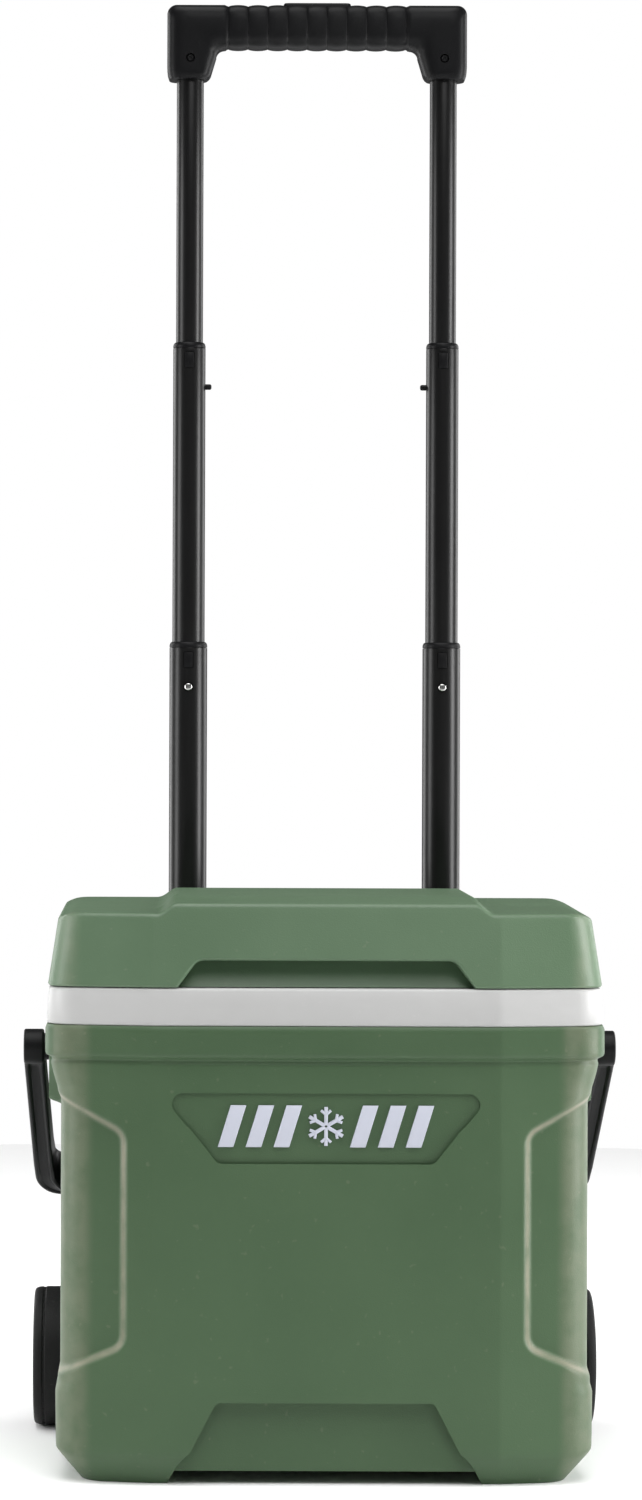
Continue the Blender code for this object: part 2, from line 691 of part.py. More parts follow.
def middle_stage(looks, pivot):
    window = MIDDLE_TOP - 13.3
    for word, side in SIDES:
        top = MIDDLE_TOP - 4 - GAP
        middle = tube(f"middle_tube_{word}", side, MIDDLE_R, MIDDLE_BOTTOM, top, looks["tube"])
        cut(middle, tube_window(f"cut_middle_window_{word}", side, MIDDLE_R, window))
        cut(middle, cross_hole(f"cut_middle_pin_{word}", side, MIDDLE_R, MIDDLE_PIN, 2.7, False))
        cut(middle, cross_hole(f"cut_middle_lock_{word}", side, MIDDLE_R, OUTER_PIN, 3.4, True))
        name = f"middle_collar_{word}"
        bush = collar(name, side, INNER_R, MIDDLE_R, MIDDLE_TOP, window, looks["black"])
        name = f"middle_glide_{word}"
        flange = OUTER_R - WALL - 0.25
        foot = glide(name, side, MIDDLE_R, 8, flange, MIDDLE_BOTTOM, 543, looks["black"])
        for piece in (middle, bush, foot):
            placed(piece, pivot)


def grip_form(name, look):
    """The tow handle's grip as one solid: a crossbar with a sleeve at each end."""
    right = [(66, BAR_UNDER), (71.5, 1019.6), (75, 1015.5), (79.6, EAR_BOTTOM)]
    right += [(111.3, EAR_BOTTOM)] + arc(104.3, BAR_TOP - 7, 7, 0, 90, 4)
    points = right + [(-x, z) for x, z in reversed(right)]
    y = behind(TUBE_DEPTH)
    form = prism(name, points, front_view, y - 16, y + 16, look)
    bevel(form, 5.0, 3, 50)
    return form


def upper_stage(looks, pivot):
    y = behind(TUBE_DEPTH)
    halves = (("front", (y - GAP / 2, y + 30)), ("rear", (y - 30, y + GAP / 2)))
    pieces = []
    for half, (low, high) in halves:
        form = grip_form(f"grip_{half}", looks["black"])
        way = box(f"cut_{half}_yoke_way", (-101, y - 7, 1035.4), (101, y + 7, 1048.5))
        room = box(f"cut_{half}_bar_room", (-66, y - 11, 1026), (66, y + 11, 1037.5))
        window = box(f"cut_{half}_button_way", (-25.4, y - 8.4, 1040.5), (25.4, y + 8.4, 1060))
        away = box(f"cut_{half}_half", (-120, low, 990), (120, high, 1070))
        cut(form, way, room, window)
        for word, side in SIDES:
            x = side * TUBE_SIDE
            socket = rod(f"cut_{half}_socket_{word}", INNER_R + GAP, (x, y, 990), (x, y, 1037))
            cut(form, socket)
            if half == "front":
                start, end = (x, y - 20, 1013), (x, y - 8, 1013)
                cut(form, rod(f"cut_rivet_hole_{word}", 3.3, start, end, segments=16))
        cut(form, away)
        pieces.append(form)
    for word, side in SIDES:
        inner = tube(f"inner_tube_{word}", side, INNER_R, INNER_BOTTOM, 1035, looks["tube"])
        cut(inner, cross_hole(f"cut_inner_lock_{word}", side, INNER_R, MIDDLE_PIN, 2.7, False))
        name = f"inner_glide_{word}"
        flange = MIDDLE_R - WALL - 0.25
        foot = glide(name, side, INNER_R, 3, flange, INNER_BOTTOM, 767, looks["black"])
        x = side * TUBE_SIDE
        start, end = (x, y - 15.2, 1013), (x, y - 10.4, 1013)
        rivet = rod(f"grip_rivet_{word}", 3.0, start, end, looks["steel"], 16)
        pieces += [inner, foot, rivet]
    for piece in pieces:
        placed(piece, pivot)


def button_spring(look, pivot):
    """The coil under the yoke that lifts the release button back."""
    turns, steps, radius = 4, 8, 4.2
    low, high = 1026.9, 1038.9
    count = turns * steps
    curve = bpy.data.curves.new("button_spring", "CURVE")
    curve.dimensions = "3D"
    curve.bevel_depth = 0.6 * MM
    curve.bevel_resolution = 1
    curve.use_fill_caps = True
    spline = curve.splines.new("POLY")
    spline.points.add(count)
    for i in range(count + 1):
        angle = 2 * math.pi * i / steps
        x, y = radius * math.cos(angle), behind(TUBE_DEPTH) + radius * math.sin(angle)
        z = low + (high - low) * i / count
        spline.points[i].co = (x * MM, y * MM, z * MM, 1)
    coil = bpy.data.objects.new("button_spring", curve)
    bpy.context.scene.collection.objects.link(coil)
    curve.materials.append(look)
    placed(coil, pivot)


def release_pieces(looks, pivot):
    """The push button, the yoke under it and the two long rods inside the inner tubes."""
    y = behind(TUBE_DEPTH)
    button = box("release_button", (-25, y - 8, 1045.3), (25, y + 8, GRIP_TOP), looks["black"])
    bevel(button, 1.2, 2)
    yoke = box("release_yoke", (-98, y - 4, 1040), (98, y + 4, 1045), looks["steel"])
    pieces = [button, yoke]
    for word, side in SIDES:
        x = side * TUBE_SIDE
        start, end = (x, y, 777), (x, y, 1039.7)
        pieces.append(rod(f"release_rod_{word}", 2.5, start, end, looks["steel"], 12))
    for piece in pieces:
        placed(piece, pivot)


def lock_pins(looks):
    """The spring pins in the tube walls that hold each stage out."""
    y = behind(TUBE_DEPTH)
    for word, side in SIDES:
        x = side * TUBE_SIDE
        pivot = pivot_at(f"axis_middle_pin_{word}", x, TUBE_DEPTH, MIDDLE_PIN)
        start, end = (x - side * 10.45, y, MIDDLE_PIN), (x - side * 16.5, y, MIDDLE_PIN)
        placed(rod(f"middle_lock_pin_{word}", 2.1, start, end, looks["steel"], 16), pivot)
        pivot = pivot_at(f"axis_outer_pin_{word}", x, TUBE_DEPTH, OUTER_PIN)
        start, end = (x, y - 12.45, OUTER_PIN), (x, y - 13.9, OUTER_PIN)
        placed(rod(f"outer_lock_pin_{word}", 2.8, start, end, looks["steel"], 16), pivot)


# Assembly


def build():
    clear_scene()
    looks = palette()
    body_shell(looks["green"])
    body_liner(looks["grey"])
    body_foam(looks["foam"])
    emblem(looks["mark"])
    rear_housing(looks["black"])
    deck_screws(looks["steel"])
    hinge_pins(looks["steel"])
    bail_pins(looks["black"])
    for word, side in SIDES:
        guide_sleeve(word, side, looks["black"])
        stub_axle(word, side, looks["steel"])
        pivot = pivot_at(f"axis_wheel_{word}", side * 189.5, WHEEL_DEPTH, WHEEL_RADIUS)
        wheel_pieces(word, side, looks, pivot)
    lid_pieces(looks, pivot_at("axis_lid", 0, HINGE_DEPTH, HINGE_HEIGHT))
    bail_handle(looks["black"], pivot_at("axis_bail", 0, BAIL_DEPTH, BAIL_HEIGHT))
    lower_stage(looks, pivot_at("axis_lower_slide", 0, TUBE_DEPTH, OUTER_TOP))
    middle_stage(looks, pivot_at("axis_middle_slide", 0, TUBE_DEPTH, MIDDLE_TOP))
    upper_pivot = pivot_at("axis_upper_slide", 0, TUBE_DEPTH, EAR_BOTTOM)
    upper_stage(looks, upper_pivot)
    button_spring(looks["steel"], upper_pivot)
    release_pieces(looks, pivot_at("axis_release", 0, TUBE_DEPTH, GRIP_TOP))
    lock_pins(looks)


build()
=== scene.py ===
import json
import math

import bmesh
import bpy
import numpy as np
from mathutils import Matrix, Vector


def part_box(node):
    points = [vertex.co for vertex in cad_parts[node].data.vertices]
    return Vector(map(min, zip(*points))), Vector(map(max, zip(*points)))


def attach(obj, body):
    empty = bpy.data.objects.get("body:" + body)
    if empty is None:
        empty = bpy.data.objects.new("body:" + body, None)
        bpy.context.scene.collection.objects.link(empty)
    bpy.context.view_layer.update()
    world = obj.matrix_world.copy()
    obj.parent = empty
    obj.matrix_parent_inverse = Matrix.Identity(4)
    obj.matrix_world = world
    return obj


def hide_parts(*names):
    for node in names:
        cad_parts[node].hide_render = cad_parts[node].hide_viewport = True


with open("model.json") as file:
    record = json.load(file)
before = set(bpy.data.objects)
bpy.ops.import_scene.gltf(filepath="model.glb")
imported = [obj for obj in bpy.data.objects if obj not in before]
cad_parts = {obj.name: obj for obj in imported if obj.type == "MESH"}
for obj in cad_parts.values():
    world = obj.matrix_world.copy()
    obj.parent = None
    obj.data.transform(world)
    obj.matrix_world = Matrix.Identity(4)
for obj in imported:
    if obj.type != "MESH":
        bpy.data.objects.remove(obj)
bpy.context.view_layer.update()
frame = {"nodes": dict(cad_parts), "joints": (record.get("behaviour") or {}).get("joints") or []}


# ---- Cooler body ----
# One thick-walled shell of green polypropylene with a fine moulded texture.
# The front carries sunk corner panels, a name recess and a notch between feet.

MM = 0.001
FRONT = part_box("body_shell")[0].y
SIDES = (("left", -1), ("right", 1))
FINE = 1
TUBE_SIDE, TUBE_DEPTH = 94.0, 264.0
WHEEL_DEPTH, WHEEL_HEIGHT = 262.0, 51.0


def place(x, depth, z):
    """A point in metres, from millimetres; depth is how far behind the body's front it is."""
    return (x * MM, FRONT + depth * MM, z * MM)


def polygon_distance(x, z, corners):
    """How far each point is from a polygon's outline, negative inside it."""
    nearest = np.full(np.shape(x), np.inf)
    inside = np.zeros(np.shape(x), bool)
    for (ax, az), (bx, bz) in zip(corners, corners[1:] + corners[:1]):
        ex, ez = bx - ax, bz - az
        share = np.clip(((x - ax) * ex + (z - az) * ez) / (ex * ex + ez * ez), 0, 1)
        nearest = np.minimum(nearest, np.hypot(x - ax - share * ex, z - az - share * ez))
        if ez:
            spans = (z < az) != (z < bz)
            inside ^= spans & (x < ax + ex * (z - az) / ez)
    return np.where(inside, -nearest, nearest)


def eased(value):
    """0 to 1 with a soft start and end."""
    value = np.clip(value, 0, 1)
    return value * value * (3 - 2 * value)


def plan_ring(half, front, rear, front_radius=22.0, rear_radius=24.0, bow=10.0, steps=None):
    """(x, depth) around a rounded plan with faceted front corners; the same count for any size."""
    flat, slope, corner, *side_counts, back_corner, back = steps or (12, 6, 10, 6, 6, 4, 8, 10)
    lean = math.radians(bow)
    flat_end, arc_x = 119.0, half - front_radius
    arc_depth = (arc_x + front_radius * math.sin(lean) - flat_end) * math.tan(lean)
    arc_depth += front + front_radius * math.cos(lean)
    turn = np.linspace(lean - math.pi / 2, 0, corner, endpoint=False)
    bend = np.stack([arc_x + front_radius * np.cos(turn), arc_depth + front_radius * np.sin(turn)], 1)
    runs = [np.linspace((0, front), (flat_end, front), flat, endpoint=False)]
    runs += [np.linspace((flat_end, front), bend[0], slope, endpoint=False), bend]
    stops = [arc_depth, 100.0, 180.0, rear - rear_radius]
    for start, end, count in zip(stops, stops[1:], side_counts):
        runs.append(np.linspace((half, start), (half, end), count, endpoint=False))
    turn = np.linspace(0, math.pi / 2, back_corner, endpoint=False)
    x, y = half - rear_radius, rear - rear_radius
    runs.append(np.stack([x + rear_radius * np.cos(turn), y + rear_radius * np.sin(turn)], 1))
    runs.append(np.linspace((x, rear), (0, rear), back + 1))
    right = np.concatenate(runs)
    left = right[-2:0:-1] * (-1, 1)
    return np.concatenate([right, left])


def ring_at(z, half, front, rear, **shape):
    """A rounded plan at one height."""
    plan = plan_ring(half, front, rear, **shape)
    return np.column_stack([plan, np.full(len(plan), float(z))])


def add_mesh(name, points, faces, look=None, smooth_angle=35):
    """A mesh object from points in millimetres, with its faces turned outwards."""
    mesh = bpy.data.meshes.new(name)
    mesh.from_pydata([place(*p) for p in points], [], faces)
    bm = bmesh.new()
    bm.from_mesh(mesh)
    bmesh.ops.remove_doubles(bm, verts=bm.verts, dist=1e-7)
    bmesh.ops.recalc_face_normals(bm, faces=bm.faces)
    bm.to_mesh(mesh)
    bm.free()
    obj = bpy.data.objects.new(name, mesh)
    bpy.context.scene.collection.objects.link(obj)
    if look:
        mesh.materials.append(look)
    mesh.shade_smooth()
    mesh.set_sharp_from_angle(angle=math.radians(smooth_angle))
    return obj


def add_loft(name, rings, look=None, **options):
    """A closed body through rings of (x, depth, z), capped at its first and last ring."""
    count = len(rings[0])
    here = np.arange(count)
    there = np.roll(here, -1)
    faces = []
    for row in range(len(rings) - 1):
        low, high = row * count, (row + 1) * count
        faces += np.stack([low + here, low + there, high + there, high + here], 1).tolist()
    faces.append(list(range(count))[::-1])
    faces.append(list(range((len(rings) - 1) * count, len(rings) * count)))
    return add_mesh(name, np.concatenate(rings), faces, look, **options)


def prism(name, outline, low, high, view="front", look=None):
    """A flat outline carried from low to high: (x, z) in front view, (depth, z) in side view."""
    order = {"front": (0, 2, 1), "side": (2, 0, 1), "top": (0, 1, 2)}[view]
    rings = [np.array([(u, v, w) for u, v in outline], float)[:, order] for w in (low, high)]
    return add_loft(name, rings, look)


def settle(obj, smooth_angle=35):
    """Applies the object's modifiers, leaving a plain mesh."""
    graph = bpy.context.evaluated_depsgraph_get()
    mesh = bpy.data.meshes.new_from_object(obj.evaluated_get(graph))
    obj.modifiers.clear()
    obj.data = mesh
    mesh.shade_smooth()
    mesh.set_sharp_from_angle(angle=math.radians(smooth_angle))
    return obj


def combine(obj, operation, *others, smooth_angle=35):
    """Cuts, joins or keeps the others' solid shapes, which are then thrown away."""
    for other in others:
        modifier = obj.modifiers.new(other.name, "BOOLEAN")
        modifier.operation = operation
        modifier.solver = "EXACT"
        modifier.object = other
    settle(obj, smooth_angle)
    for other in others:
        bpy.data.objects.remove(other)
    return obj


def arc(u, v, radius, start, end, steps):
    """Points along an arc, its angles in degrees."""
    turns = [math.radians(start + (end - start) * k / steps) for k in range(steps + 1)]
    return [(u + radius * math.cos(a), v + radius * math.sin(a)) for a in turns]


def mirrored(right):
    """The right half of an outline, followed by its left half."""
    return right + [(-x, y) for x, y in reversed(right)]


def part_of(obj, body, slot, *nodes):
    """Ties a finished piece to its body and hides the CAD nodes that it stands for; its slot is not used."""
    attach(obj, body)
    if nodes:
        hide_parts(*nodes)
    return obj


def store_edge_highlight(obj, mask):
    """Keeps how strongly each point of the mesh takes the painted edge highlight, for its material to read."""
    edge = obj.data.attributes.new("edge", "FLOAT", "POINT")
    edge.data.foreach_set("value", np.asarray(mask, np.float32))


def fill_group(tree, nodes, links):
    """Adds nodes by (key, type, settings, input values) and joins them; returns them by key."""
    made = {}
    for key, kind, settings, values in nodes:
        node = tree.nodes.new(kind)
        for name, value in settings.items():
            setattr(node, name, value)
        for name, value in values.items():
            node.inputs[name].default_value = value
        made[key] = node
    for (a, out), (b, into) in links:
        source = made[a] if isinstance(a, str) else a
        target = made[b] if isinstance(b, str) else b
        tree.links.new(source.outputs[out], target.inputs[into])
    return made


def new_group(name, inputs, outputs):
    """A shader node group with number sockets, and its input and output nodes."""
    group = bpy.data.node_groups.new(name, "ShaderNodeTree")
    for label, value in inputs.items():
        socket = group.interface.new_socket(label, in_out="INPUT", socket_type="NodeSocketFloat")
        socket.default_value = value
    for label in outputs:
        group.interface.new_socket(label, in_out="OUTPUT", socket_type="NodeSocketFloat")
    return group, group.nodes.new("NodeGroupInput"), group.nodes.new("NodeGroupOutput")


# Moulded plastic's grain: a fine leathery pebble, with slow patches where the colour drifts.
grain_group, grain_in, grain_out = new_group(
    "moulded grain", {"Pebble scale": 900.0, "Patch scale": 9.0}, ["Height", "Patches", "Specks"]
)
fill_group(
    grain_group,
    [
        ("where", "ShaderNodeTexCoord", {}, {}),
        ("pebble", "ShaderNodeTexNoise", {}, {"Detail": 3.0, "Roughness": 0.6}),
        ("cells", "ShaderNodeTexVoronoi", {"feature": "SMOOTH_F1"}, {"Smoothness": 0.6}),
        ("height", "ShaderNodeMath", {"operation": "ADD"}, {}),
        ("patch", "ShaderNodeTexNoise", {}, {"Detail": 4.0, "Roughness": 0.55}),
        ("speck", "ShaderNodeTexNoise", {}, {"Scale": 210.0, "Detail": 1.0}),
        ("few", "ShaderNodeMapRange", {}, {"From Min": 0.72, "From Max": 0.8}),
    ],
    [
        (("where", "Object"), ("pebble", "Vector")),
        (("where", "Object"), ("cells", "Vector")),
        (("where", "Object"), ("patch", "Vector")),
        (("where", "Object"), ("speck", "Vector")),
        ((grain_in, "Pebble scale"), ("pebble", "Scale")),
        ((grain_in, "Pebble scale"), ("cells", "Scale")),
        ((grain_in, "Patch scale"), ("patch", "Scale")),
        (("pebble", "Fac"), ("height", 0)),
        (("cells", "Distance"), ("height", 1)),
        (("height", "Value"), (grain_out, "Height")),
        (("patch", "Fac"), (grain_out, "Patches")),
        (("speck", "Fac"), ("few", "Value")),
        (("few", "Result"), (grain_out, "Specks")),
    ],
)

# Painted edge highlights: a mask stored on the mesh, broken up so that the painted highlight is uneven.
highlight_group, highlight_in, highlight_out = new_group("painted edge highlights", {"Break up": 60.0}, ["Highlight"])
fill_group(
    highlight_group,
    [
        ("where", "ShaderNodeTexCoord", {}, {}),
        ("edge", "ShaderNodeAttribute", {"attribute_name": "edge"}, {}),
        ("noise", "ShaderNodeTexNoise", {}, {"Detail": 3.0}),
        ("uneven", "ShaderNodeMapRange", {}, {"From Min": 0.3, "From Max": 0.6, "To Min": 0.45}),
        ("highlight", "ShaderNodeMath", {"operation": "MULTIPLY"}, {}),
    ],
    [
        (("where", "Object"), ("noise", "Vector")),
        ((highlight_in, "Break up"), ("noise", "Scale")),
        (("noise", "Fac"), ("uneven", "Value")),
        (("edge", "Fac"), ("highlight", 0)),
        (("uneven", "Result"), ("highlight", 1)),
        (("highlight", "Value"), (highlight_out, "Highlight")),
    ],
)


# A colour mix's sockets: its two colours, and the colour it gives.
FIRST, SECOND, MIXED = 6, 7, 2


def new_look(name, colour):
    """A new material and its shader; the plain colour is for the viewport."""
    look = bpy.data.materials.new(name)
    look.use_nodes = True
    look.diffuse_color = (*colour, 1)
    return look, look.node_tree.nodes["Principled BSDF"]


def plastic(name, dark, light, speck_and_highlight, roughness, pebble=900.0, bump=0.05, speck=0.35, **shader_values):
    """A moulded plastic: two close shades in patches, pale specks, a painted highlight on masked edges and a
    pebbled skin.
    """
    look, shader = new_look(name, light)
    for socket, value in shader_values.items():
        shader.inputs[socket.replace("_", " ")].default_value = value
    fill_group(
        look.node_tree,
        [
            ("grain", "ShaderNodeGroup", {"node_tree": grain_group}, {"Pebble scale": pebble}),
            ("highlight", "ShaderNodeGroup", {"node_tree": highlight_group}, {}),
            ("base", "ShaderNodeMix", {"data_type": "RGBA"}, {FIRST: (*dark, 1), SECOND: (*light, 1)}),
            ("speckled", "ShaderNodeMix", {"data_type": "RGBA"}, {SECOND: (*speck_and_highlight, 1)}),
            # Painted edge highlight, in the same pale colour as the specks.
            ("highlighted", "ShaderNodeMix", {"data_type": "RGBA"}, {SECOND: (*speck_and_highlight, 1)}),
            ("share", "ShaderNodeMath", {"operation": "MULTIPLY"}, {1: speck}),
            ("gloss", "ShaderNodeMapRange", {}, {"From Min": 0.3, "From Max": 0.7, "To Min": roughness - 0.05,
                                                 "To Max": roughness + 0.06}),
            ("bump", "ShaderNodeBump", {}, {"Strength": bump * 4, "Distance": 0.0003}),
        ],
        [
            (("grain", "Specks"), ("share", 0)),
            (("grain", "Patches"), ("gloss", "Value")),
            (("gloss", "Result"), (shader, "Roughness")),
            (("grain", "Height"), ("bump", "Height")),
            (("bump", "Normal"), (shader, "Normal")),
            (("grain", "Patches"), ("base", 0)),
            (("base", MIXED), ("speckled", FIRST)),
            (("share", 0), ("speckled", 0)),
            (("speckled", MIXED), ("highlighted", FIRST)),
            (("highlight", "Highlight"), ("highlighted", 0)),
            (("highlighted", MIXED), (shader, "Base Color")),
        ],
    )
    return look


# The same plastic as the lid, made darker as painted shade on the body's upright walls.
shaded_body_green = plastic(
    "green plastic, darker copy for painted shade", (0.045, 0.089, 0.041), (0.066, 0.118, 0.057), (0.33, 0.30, 0.235), 0.46,
    pebble=1100.0, bump=0.06, speck=0.10, Specular_IOR_Level=0.36,
)

UNDERSIDE = 9.2
BODY_REAR = 285.0
SLEEVE_ROOM = 16.9
body_steps = tuple(max(4, n // FINE) for n in (84, 32, 14, 30, 32, 8, 12, 44))
body_heights = np.concatenate([
    np.arange(0, 30, 1.5 * FINE), np.arange(30, 62, 2.5 * FINE), np.arange(62, 70, 1.0 * FINE),
    np.arange(70, 112, 1.2 * FINE), np.arange(112, 226, 8.0), np.arange(226, 271, 1.2 * FINE),
    np.arange(271, 296, 0.9 * FINE), np.arange(296, 312, 2.0 * FINE), [311.6, 312.5, 313.0],
])
RIM_HALF = 192.2
# Height, half of the width, front and rear of the plain form: base, waist, flare and rim.
body_profile = np.array([
    (0, 166.5, 14, 279), (19.5, 181.6, 0.6, 284), (22.5, 183.8, 0.2, 285), (26, 184, 0, 285),
    (62, 184.4, 0.3, 285), (68, 182.7, 0.5, 285), (250, 182.6, 2.6, 285), (262, 182.7, 2.8, 285),
    (270, 183.8, 2.9, 285), (279, 186.6, 2.9, 285), (286.6, 188.3, 3.0, 285), (288.4, 187.6, 3.9, 285),
    (290.2, 187.6, 3.9, 285), (291.2, 191.2, 0.9, 285), (293.2, RIM_HALF, 0, 285),
    (310.5, RIM_HALF, 0, 285), (313, 190.8, 1.4, 284.4),
])
# The areas sunk into the skin, before their corners are rounded, and the raised pad at each pivot.
corner_panel = [(150, 102.4), (150, 232.4), (230, 275.5), (230, 67.5)]
pivot_pad = [(122, 256), (162, 256), (162, 300), (122, 300)]
rear_middle = [(-66, 46), (-66, 262), (66, 262), (66, 46)]
rear_side = [(128, 124), (128, 262), (142, 262), (142, 124)]
REAR_SUNK = 1.8


def body_surface():
    """The outer skin as rings, with its sunk and raised areas eased in, and the mask of painted edge
    highlights.
    """
    blur = np.linspace(-0.9, 0.9, 7)
    heights, columns = body_profile[:, 0], body_profile.T[1:]
    rings, masks = [], []
    floor = plan_ring(181.3, 7.5, BODY_REAR, steps=body_steps)
    for z in body_heights:
        sizes = [np.interp(z + blur, heights, column).mean() for column in columns]
        if z <= 0 or z >= heights[-1]:
            sizes = [np.interp(z, heights, column) for column in columns]
        ring = plan_ring(*sizes, steps=body_steps)
        x, depth = np.abs(ring[:, 0]), ring[:, 1]
        level = np.full(len(x), z)
        panel = polygon_distance(x, level, corner_panel) - 13
        sunk = eased((2.1 - panel) / 6.4) * eased((96.5 - depth) / 5) * (depth < 120)
        ring = ring + (floor - ring) * sunk[:, None]
        # Painted highlight along the walls of the sunk corner panels.
        wall_highlight = 4 * sunk * (1 - sunk) * 0.68
        pad = polygon_distance(depth, level, pivot_pad) - 6
        raised = eased((1.0 - pad) / 5) * (x > 180) * (ring[:, 1] > 100)
        ring[:, 0] += np.sign(ring[:, 0]) * raised * np.maximum(0, RIM_HALF - np.abs(ring[:, 0]))
        middle = polygon_distance(x, level, rear_middle) - 8
        beside = polygon_distance(x, level, rear_side) - 6
        ring[:, 1] -= REAR_SUNK * eased((1.2 - np.minimum(middle, beside)) / 4) * (depth > 275)
        # Painted highlight down the rounded front corners.
        corner_highlight = 0.22 * eased((x - 158) / 10) * eased((188 - x) / 3) * (depth < 30)
        mask = np.maximum(wall_highlight, corner_highlight)
        rings.append(np.column_stack([ring, level]))
        masks.append(mask)
    return rings, masks


def wheel_well(name, side, grow):
    """A cutter for the room round a wheel, open behind and below."""
    radius = 57.0 + grow
    outline = arc(WHEEL_DEPTH, WHEEL_HEIGHT, radius, 180, 45, 28)
    outline += [(342, WHEEL_HEIGHT + radius * 0.8), (342, -20), (WHEEL_DEPTH - radius, -20)]
    return prism(name, outline, side * (167 - grow), side * 230, "side")


def tube_rooms(name, radius, low, high):
    """Two upright round cutters, on the lines of the handle's tubes."""
    rooms = []
    for word, side in SIDES:
        outline = arc(side * TUBE_SIDE, TUBE_DEPTH, radius, 0, 360, 48)[:-1]
        rooms.append(prism(f"{name}_{word}", outline, low, high, "top"))
    return rooms


def lipped(name, outline, face, floor, lip, fillet, draft=0.6, lean=0.0):
    """A recess cutter seen from the front: rounded lip, drafted wall and a filleted floor."""
    flat = np.array(outline, float)
    along = np.roll(flat, -1, 0) - np.roll(flat, 1, 0)
    out = np.column_stack([along[:, 1], -along[:, 0]]) / np.hypot(*along.T)[:, None]
    steps = [(face - 3, lip + 0.6), (face - 0.02, lip + 0.5)]
    for a in np.linspace(0.35, 1.57, 5):
        steps.append((face + lip * (1 - math.cos(a)), lip * (1 - math.sin(a))))
    for a in np.linspace(1.57, 0.0, 5):
        steps.append((floor - fillet * math.cos(a), -draft - fillet * (1 - math.sin(a))))
    rings = []
    for depth, grow in sorted(steps):
        x, z = (flat + out * grow).T
        rings.append(np.column_stack([x, depth + lean * (z - flat[:, 1].mean()), z]))
    return add_loft(name, rings)


skin_rings, skin_masks = body_surface()
body_skin = add_loft("body_skin", skin_rings, shaded_body_green, smooth_angle=62)
# The stored mask gives the body its painted edge highlights.
store_edge_highlight(body_skin, np.concatenate(skin_masks)[: len(body_skin.data.vertices)])
hollow_sizes = [
    (12.2, 174.4, 13.6, 281.4), (58, 177.9, 13.6, 282), (66, 177.9, 10.6, 282), (286, 177.9, 10.6, 282),
    (293, 188.6, 3.4, 282), (298, 188.6, 3.4, 282), (300, 188.6, 3.4, 268), (330, 188.6, 3.4, 268),
]
hollow = add_loft("hollow", [ring_at(*sizes) for sizes in hollow_sizes])
inner_wells = [wheel_well(f"inner_well_{word}", side, 3) for word, side in SIDES]
combine(hollow, "DIFFERENCE", *inner_wells)
underside = [(-8, -4), (300, -4), (300, UNDERSIDE), (95, UNDERSIDE), (95, -3), (-8, -3)]
under = prism("under", underside, -195, 195, "side")
feet_gap = [(-109, -2.9), (109, -2.9), (103.2, UNDERSIDE - 0.7), (102.7, UNDERSIDE)]
between = prism("between", feet_gap + [(-102.7, UNDERSIDE), (-103.2, UNDERSIDE - 0.7)], -6, 96)
notch_side = arc(71, 51.6, 8, 90, 30, 8) + [(102.4, UNDERSIDE - 0.9), (102.4, 0)]
notch = lipped("notch", [(-x, z) for x, z in reversed(notch_side)] + notch_side, 0.3, 10.0, 2.2, 1.5)
name_side = arc(97, 259.5, 8, 90, -32, 12) + arc(70.5, 226, 8, -32, -90, 8)
name_recess = lipped("name_recess", mirrored(name_side), 2.5, 4.95, 0.9, 0.7, 0.3, -0.0113)
wells = [wheel_well(f"well_{word}", side, 0) for word, side in SIDES]
ways = tube_rooms("way", SLEEVE_ROOM, 290, 340)
combine(body_skin, "DIFFERENCE", hollow, under, between, notch, name_recess, *wells, *ways, smooth_angle=55)
part_of(body_skin, "cooler_body", "green_plastic", "body_shell")


# ---- Mark in the name recess ----
# A generic snowflake between two groups of slanted bars, moulded in a pale
# lilac-grey plastic and pressed into the recess.

pale = plastic(
    "pale lilac plastic", (0.50, 0.52, 0.60), (0.57, 0.59, 0.68), (0.66, 0.67, 0.72), 0.45, bump=0.02, speck=0.1
)
MARK_HEIGHT, MARK_BACK = 245.0, 4.9


